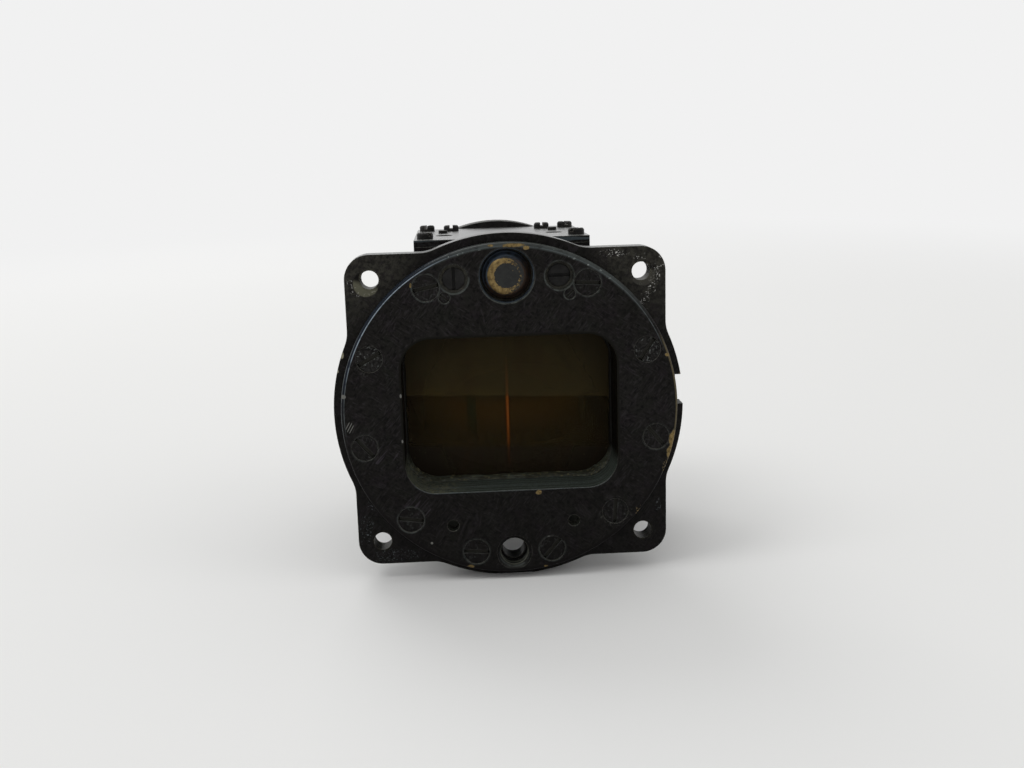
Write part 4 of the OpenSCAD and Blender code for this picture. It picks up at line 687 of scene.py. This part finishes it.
# which nodes wear which finish; the others wear the one of their material slot
wearers = {
    "flangePaint": "mounting_flange", "casePaint": "case_casting", "rearPaint": "rear_flange rear_cover",
    "bezelPaint": "bezel_ring window_frame", "coverPaint": "compensator_cover",
    "screwPaint": "bezel_screws lock_screws", "adjusterSteel": "left_adjuster right_adjuster",
    "coverScrew": "cover_screws bridge_screws rear_screws bridge_dowels", "capPaint": "lamp_cap",
    "windowGlass": "window_glass", "lightGlass": "light_window", "bulbGlass": "bulb_glass",
    "threadedBrass": "bulb_base lamp_socket", "sealant": "glass_front_gasket glass_rear_gasket",
    "fibre": "rear_gasket", "agedBrass": "filler_plug", "lubberPaint": "lubber_line", "cardPaint": "card_ring",
    "floatMetal": "magnet_clips", "bronze": "adjuster_bushes expansion_diaphragm", "jewel": "jewel_stone",
    "insulator": "contact_insulator",
}
finishOf = {name: finish for finish, names in wearers.items() for name in names.split()}
slotFinish = {"brass": "brass", "steel": "steel", "magnet": "magnet", "bronze": "bronze", "copper": "copper",
              "float_metal": "floatMetal"}
slotOf = {row["node"]: row["material_slot"] for row in frame["record"]["subparts"]}
for name, node in nodes.items():
    chosen = finishOf.get(name) or slotFinish[slotOf[name]]
    node.data.materials.clear()
    node.data.materials.append(finishes[chosen])
print("finishes given to", len(nodes), "nodes")


def added(name, mesh, body):  # a finished piece that rides on a body
    piece = bpy.data.objects.new(name, mesh)
    scene.collection.objects.link(piece)
    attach(piece, body)
    return piece


def closedMesh(name, build, finish):  # a mesh with its doubles merged and its faces turned outwards
    shape = bmesh.new()
    build(shape)
    bmesh.ops.remove_doubles(shape, verts=shape.verts, dist=1e-7)
    bmesh.ops.recalc_face_normals(shape, faces=shape.faces)
    mesh = bpy.data.meshes.new(name)
    shape.to_mesh(mesh)
    shape.free()
    mesh.materials.append(finishes[finish])
    for face in mesh.polygons:
        face.use_smooth = True
    return mesh


def skin(shape, rows, ends=False):  # faces between loops of vertices: a tube with ends, or else a ring
    if ends:
        shape.faces.new(rows[0])
        shape.faces.new(rows[-1])
    for here, after in zip(rows, rows[1:] if ends else rows[1:] + rows[:1]):
        for k in range(len(here)):
            nextK = (k + 1) % len(here)
            shape.faces.new((here[k], here[nextK], after[nextK], after[k]))


# sealant run by hand round the front of the glass, wide along the bottom
bead = {"frameWall": 2.2, "corner": 7.0, "spacing": 0.4, "bottom": 1.05, "side": 0.55, "top": 0.35,
        "climb": 1.5, "wander": 0.42, "lumps": 0.12, "fullness": 1.4, "sunk": 0.03, "profile": 8}


def windowLoop(half, tall, corner, spacing):  # places round the opening with their inward directions
    loop = []
    for quarter, (sideX, sideZ) in enumerate(((1, -1), (1, 1), (-1, 1), (-1, -1))):
        turns = round(corner * math.pi / 2 / spacing)
        for k in range(turns + 1):
            a = math.radians(90 * (quarter - 1) + 90 * k / turns)
            outward = Vector((math.cos(a), 0, math.sin(a)))
            middle = Vector((sideX * (half - corner), 0, sideZ * (tall - corner)))
            loop.append((middle + outward * corner, -outward))
        length = 2 * ((tall if quarter % 2 == 0 else half) - corner)
        along = Vector((-outward.z, 0, outward.x))
        start = loop[-1][0]
        for k in range(1, round(length / spacing)):
            loop.append((start + along * spacing * k, -outward))
    return loop


def buildBead(shape):
    low, high = (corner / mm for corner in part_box("window_frame"))
    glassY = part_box("window_glass")[0].y / mm
    half = (high.x - low.x) / 2 - bead["frameWall"]
    tall = (high.z - low.z) / 2 - bead["frameWall"]
    middle = Vector(((low.x + high.x) / 2, glassY, (low.z + high.z) / 2))
    rows = []
    for place, inward in windowLoop(half, tall, bead["corner"], bead["spacing"]):
        wide = bead["bottom"] * max(inward.z, 0) + bead["top"] * max(-inward.z, 0)
        wide += bead["side"] * abs(inward.x)
        slow, quick = noise.noise(place * 0.11), noise.noise(place * 0.5)
        wide *= 1 + bead["wander"] * slow + bead["wander"] * 0.5 * quick
        climb = wide * bead["climb"] * (1 + bead["wander"] * noise.noise(place * 0.3 + Vector((9, 0, 0))))
        section = [Vector((-bead["sunk"], bead["sunk"]))]
        for k in range(bead["profile"] + 1):
            a = math.pi / 2 * k / bead["profile"]
            lump = 1 + bead["lumps"] * noise.noise(place * 1.4 + Vector((k, 0, 0)))
            section.append(Vector((wide * math.sin(a) ** bead["fullness"] * lump - bead["sunk"],
                                   bead["sunk"] - climb * math.cos(a) ** bead["fullness"] * lump)))
        foot = middle + place
        rows.append([shape.verts.new((foot + inward * p.x + Vector((0, p.y, 0))) * mm) for p in section])
    skin(shape, rows)


added("glassSealant", closedMesh("glassSealant", buildBead, "sealant"), "case")
print("sealant made")

# old grime and paint that nearly fills the gaps round the adjusters and the foot of the lamp cap:
# rings by their inner and outer radius, so far below the face of the piece inside
grime = {"climb": 0.42, "deep": 1.0, "lumps": 0.16, "around": 56, "across": 5,
         "rings": {"left_adjuster": (2.60, 3.22, 0.16), "right_adjuster": (2.60, 3.22, 0.16),
                   "lamp_cap": (5.77, 6.19, 2.85)}}


def buildGrime(shape):
    for name, (inner, outer, below) in grime["rings"].items():
        low, high = (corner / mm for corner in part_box(name))
        axis = Vector(((low.x + high.x) / 2, 0, (low.z + high.z) / 2))
        rows = []
        for k in range(grime["around"]):
            a = math.tau * k / grime["around"]
            out = Vector((math.cos(a), 0, math.sin(a)))
            row = []
            for j in range(grime["across"] + 1):
                share = j / grime["across"]
                radius = inner + (outer - inner) * share
                lump = grime["lumps"] * noise.noise((axis + out * radius) * 1.1)
                row.append((radius, low.y + below - grime["climb"] * share ** 2 + lump))
            row += [(outer, low.y + below + grime["deep"]), (inner, low.y + below + grime["deep"])]
            rows.append([shape.verts.new((axis + out * r + Vector((0, y, 0))) * mm) for r, y in row])
        skin(shape, rows)


added("bezelGrime", closedMesh("bezelGrime", buildGrime, "grime"), "case")
print("grime laid")


class Shaper(Graph):  # geometry nodes with named inputs, which end as a plain mesh
    def __init__(self, name, inputs):
        super().__init__(bpy.data.node_groups.new(name, "GeometryNodeTree"))
        sockets = self.tree.interface
        self.keys = {}
        for label, kind in inputs.items():
            made = sockets.new_socket(label, in_out="INPUT", socket_type="NodeSocket" + kind)
            self.keys[label] = made.identifier
        sockets.new_socket("Result", in_out="OUTPUT", socket_type="NodeSocketGeometry")
        given = self.node("NodeGroupInput").socket.node
        self.given = {label: Wire(self, given.outputs[label]) for label in inputs}

    def ended(self, geometry):
        solid = self.node("GeometryNodeRealizeInstances", None, {"Geometry": geometry})
        self.node("NodeGroupOutput", None, {"Result": self.node("GeometryNodeSetMaterial", None, {
            "Geometry": solid, "Material": self.given["Finish"]})})

    def evaluated(self, name, values, placed):
        carrier = bpy.data.objects.new(name, bpy.data.meshes.new(name))
        scene.collection.objects.link(carrier)
        modifier = carrier.modifiers.new("shape", "NODES")
        modifier.node_group = self.tree
        for label, value in values.items():
            modifier[self.keys[label]] = value
        mesh = bpy.data.meshes.new_from_object(carrier.evaluated_get(bpy.context.evaluated_depsgraph_get()))
        bpy.data.objects.remove(carrier)
        mesh.transform(placed)
        return mesh


class Pattern(Shaper):  # copies of a shape, stepped round an upright axis and along it
    def __init__(self, name):
        super().__init__(name, {"Shape": "Object", "Count": "Int", "Radius": "Float", "Start": "Float",
                                "Step": "Float", "Rise": "Float", "Finish": "Material"})
        shape, count, radius, start, step, rise = list(self.given.values())[:6]
        index = self.node("GeometryNodeInputIndex")
        angle = start + step * index
        across, along = (radius * angle.reckon(part, angle) for part in ("COSINE", "SINE"))
        place = self.node("ShaderNodeCombineXYZ", None, {0: across, 1: along, 2: rise * index})
        points = self.node("GeometryNodePoints", None, {"Count": count, "Position": place})
        original = self.node("GeometryNodeObjectInfo", None, {"Object": shape}, out="Geometry")
        turned = self.node("ShaderNodeCombineXYZ", None, {2: angle})
        self.ended(self.node("GeometryNodeInstanceOnPoints", None, {
            "Points": points, "Instance": original, "Rotation": turned}))

    def laid(self, name, build, values, finish, placed):  # a plain mesh of the copies, moved to its place
        shape = bpy.data.objects.new(name + "Shape", closedMesh(name + "Shape", build, finish))
        scene.collection.objects.link(shape)
        mesh = self.evaluated(name, {**values, "Shape": shape, "Finish": finishes[finish]}, placed)
        bpy.data.objects.remove(shape)
        return mesh


pattern = Pattern("aroundAxis")


def plateBuilder(wide, deep, low, high, foot=0.0):  # a thin upright mark, its foot wider by that much
    half, shoulder = wide / 2, low + foot * 4 + 0.1
    right = [(half + foot, low), (half + foot * 0.8, low + foot * 3), (half, shoulder), (half, high)]
    outline = [(-half - foot, low)] + right + [(-y, z) for y, z in reversed(right[1:])]

    def build(shape):
        skin(shape, [[shape.verts.new((x * mm, y * mm, z * mm)) for y, z in outline]
                     for x in (-dial["sunk"], deep)], ends=True)
    return build


# the card's worn graduations and its four cardinal marks
ringLow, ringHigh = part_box("card_ring")
cardAxis = (ringLow + ringHigh) / 2
cardRadius = (ringHigh.x - ringLow.x) / 2
cardFoot = Matrix.Translation((cardAxis.x, cardAxis.y, ringLow.z))
dial = {"ticks": 72, "tickWide": 0.34, "tickHigh": 2.2, "tensHigh": 3.6, "edge": 0.5, "thick": 0.05,
        "sunk": 0.02, "first": -24.2, "barWide": 2.5, "barThick": 0.08, "barFoot": 0.5, "barEdge": 0.3}


def markCard(name, count, plate, finish):  # marks of one kind, evenly round the card
    start = math.radians(dial["first"] - 90)
    sizes = {"Count": count, "Radius": cardRadius, "Start": start, "Step": math.tau / count, "Rise": 0.0}
    added(name, pattern.laid(name, plate, sizes, finish, cardFoot), "card")


barTop = (ringHigh.z - ringLow.z) / mm - dial["barEdge"]
markCard("cardTicks", dial["ticks"],
         plateBuilder(dial["tickWide"], dial["thick"], dial["edge"], dial["tickHigh"]), "cardTick")
markCard("cardTens", dial["ticks"] // 2,
         plateBuilder(dial["tickWide"], dial["thick"], dial["edge"], dial["tensHigh"]), "cardTick")
markCard("cardCardinals", 4,
         plateBuilder(dial["barWide"], dial["barThick"], dial["barEdge"], barTop, dial["barFoot"]), "cardMark")
print("card marked")


def ringBuilder(radius, thick, around, section):  # a ring about the upright axis
    def build(shape):
        rows = []
        for j in range(section):
            b = math.tau * j / section
            reach, rise = radius + thick * math.cos(b), thick * math.sin(b)
            turns = (math.tau * k / around for k in range(around))
            rows.append([shape.verts.new(Vector((reach * math.cos(a), reach * math.sin(a), rise)) * mm)
                         for a in turns])
        skin(shape, rows)
    return build


# the bulb's filament: a coil of fine wire across the axis, on two posts that lean outwards from the base
bulbLow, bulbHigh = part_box("bulb_glass")
bulbAxis = (bulbLow + bulbHigh) / 2
filament = {"turns": 15, "coil": 0.22, "wire": 0.05, "pitch": 0.14, "ahead": 1.6, "around": 10, "section": 4,
            "post": 0.09, "postApart": 0.5, "postBend": 0.3, "postFoot": 0.1, "postRows": 8, "postSection": 6}
width = (filament["turns"] - 1) * filament["pitch"] * mm
coilY = bulbLow.y + filament["ahead"] * mm
across = Matrix.Translation((bulbAxis.x - width / 2, coilY, bulbAxis.z)) @ Matrix.Rotation(math.pi / 2, 4, "Y")
turnOfWire = ringBuilder(filament["coil"], filament["wire"], filament["around"], filament["section"])
mesh = pattern.laid("filament", turnOfWire, {
    "Count": filament["turns"], "Radius": 0.0, "Start": 0.0, "Step": 0.0, "Rise": filament["pitch"] * mm},
    "steel", across)
added("filament", mesh, "lamp_unit")


def buildPosts(shape):
    for side in (-1, 1):
        footX, footY = bulbAxis.x + side * filament["postApart"] * mm, bulbHigh.y - filament["postFoot"] * mm
        start = Vector((footX, footY, bulbAxis.z))
        end = Vector((bulbAxis.x + side * width / 2, coilY, bulbAxis.z))
        middle = (start + end) / 2 + Vector((side * filament["postBend"] * mm, 0, 0))
        rows = []
        for k in range(filament["postRows"] + 1):
            t = k / filament["postRows"]
            place = start * (1 - t) ** 2 + middle * 2 * t * (1 - t) + end * t ** 2
            turns = (math.tau * j / filament["postSection"] for j in range(filament["postSection"]))
            rows.append([shape.verts.new(place + Vector((math.cos(b), 0, math.sin(b))) * filament["post"] * mm)
                         for b in turns])
        skin(shape, rows, ends=True)


added("filamentPosts", closedMesh("filamentPosts", buildPosts, "steel"), "lamp_unit")
print("filament made")


class Coil(Shaper):  # round wire wound about the upright axis
    def __init__(self, name):
        super().__init__(name, {"Turns": "Float", "Radius": "Float", "Height": "Float", "Wire": "Float",
                                "Around": "Int", "Section": "Int", "Finish": "Material"})
        turns, radius, height, wire, around, section = list(self.given.values())[:6]
        path = self.node("GeometryNodeCurveSpiral", None, {
            "Resolution": around, "Rotations": turns, "Start Radius": radius, "End Radius": radius,
            "Height": height})
        profile = self.node("GeometryNodeCurvePrimitiveCircle", None, {"Resolution": section, "Radius": wire})
        self.ended(self.node("GeometryNodeCurveToMesh", None, {
            "Curve": path, "Profile Curve": profile, "Fill Caps": True}))


# the jewel's spring, wound as a coil of round wire
spring = {"turns": 5, "wire": 0.17, "around": 20, "section": 8}
springLow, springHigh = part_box("jewel_spring")
springAxis = (springLow + springHigh) / 2
springLength = springHigh.z - springLow.z
wire = spring["wire"] * mm
springFoot = Matrix.Translation((springAxis.x, springAxis.y, springLow.z + wire))
mesh = Coil("woundWire").evaluated("jewelSpring", {
    "Turns": float(spring["turns"]), "Radius": (springHigh.x - springLow.x) / 2 - wire,
    "Height": springLength - 2 * wire, "Wire": wire, "Around": spring["around"], "Section": spring["section"],
    "Finish": finishes["steel"]}, springFoot)
piece = added("jewelSpring", mesh, "case")
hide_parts("jewel_spring")
give = next(joint for joint in frame["record"]["behaviour"]["joints"] if joint["name"] == "jewel_give")
1 + give["range_m"][0] / springLength
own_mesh(piece)
print("spring wound")

# stage: a pale floor and soft light
stage = {"floorSize": 3.0, "floorTone": 0.86, "worldLight": 0.66, "backdrop": 0.88, "fadeFrom": 260,
         "fadeTo": 900, "fadeDepth": 0.55, "lampAim": (0, 0.03, 0),
         "lamps": {"key": ((-1.10, -0.60, 1.60), 0.9, 7.0), "fill": ((1.50, -0.70, 1.20), 1.0, 2.0),
                   "rear": ((-0.50, 1.40, 1.30), 1.2, 9.0)}}

low = cadLow.z
half = stage["floorSize"]
floorMesh = bpy.data.meshes.new("floor")
floorMesh.from_pydata([(-half, -half, low), (half, -half, low), (half, half, low), (-half, half, low)], [],
                      [(0, 1, 2, 3)])
floor = bpy.data.objects.new("floor", floorMesh)
scene.collection.objects.link(floor)
f = Finish("floorTone")
tone = stage["floorTone"]
floorTone = f.blend(f.noise(0.004, 2), (tone, tone, tone * 0.985), (tone * 0.98, tone * 0.98, tone * 0.97))


def seenRay(graph):  # 1 for the rays that show the background
    return strongest([graph.node("ShaderNodeLightPath", out=ray)
                      for ray in ("Is Camera Ray", "Is Glossy Ray", "Is Transmission Ray")])


matt = f.node("ShaderNodeBsdfDiffuse", None, {"Color": floorTone})
pale = f.node("ShaderNodeEmission", None, {"Color": (1.0, 1.0, 1.0), "Strength": stage["backdrop"]})
away = (f.x ** 2 + (f.y * stage["fadeDepth"]) ** 2) ** 0.5
far = f.step(away, stage["fadeFrom"], stage["fadeTo"]) * seenRay(f)
f.node("ShaderNodeOutputMaterial", None, {
    "Surface": f.node("ShaderNodeMixShader", None, {0: far, 1: matt, 2: pale})})
floorMesh.materials.append(f.material)

world = bpy.data.worlds.new("studio")
world.use_nodes = True
scene.world = world
sky = Graph(world.node_tree)
dim = sky.node("ShaderNodeBackground", None, {"Color": (1.0, 1.0, 1.0), "Strength": stage["worldLight"]})
bright = sky.node("ShaderNodeBackground", None, {"Color": (1.0, 1.0, 1.0), "Strength": stage["backdrop"]})
sky.node("ShaderNodeOutputWorld", None,
         {"Surface": sky.node("ShaderNodeMixShader", None, {0: seenRay(sky), 1: dim, 2: bright})})


def softBox(name, where, size, power):
    lamp = bpy.data.lights.new(name, "AREA")
    lamp.shape, lamp.size, lamp.energy = "DISK", size, power
    box = bpy.data.objects.new(name, lamp)
    box.location = where
    box.rotation_mode = "QUATERNION"
    box.rotation_quaternion = (Vector(stage["lampAim"]) - Vector(where)).to_track_quat("-Z", "Y")
    box.visible_camera = False
    scene.collection.objects.link(box)


for name, (where, size, power) in stage["lamps"].items():
    softBox(name, where, size, power)
print("stage set")
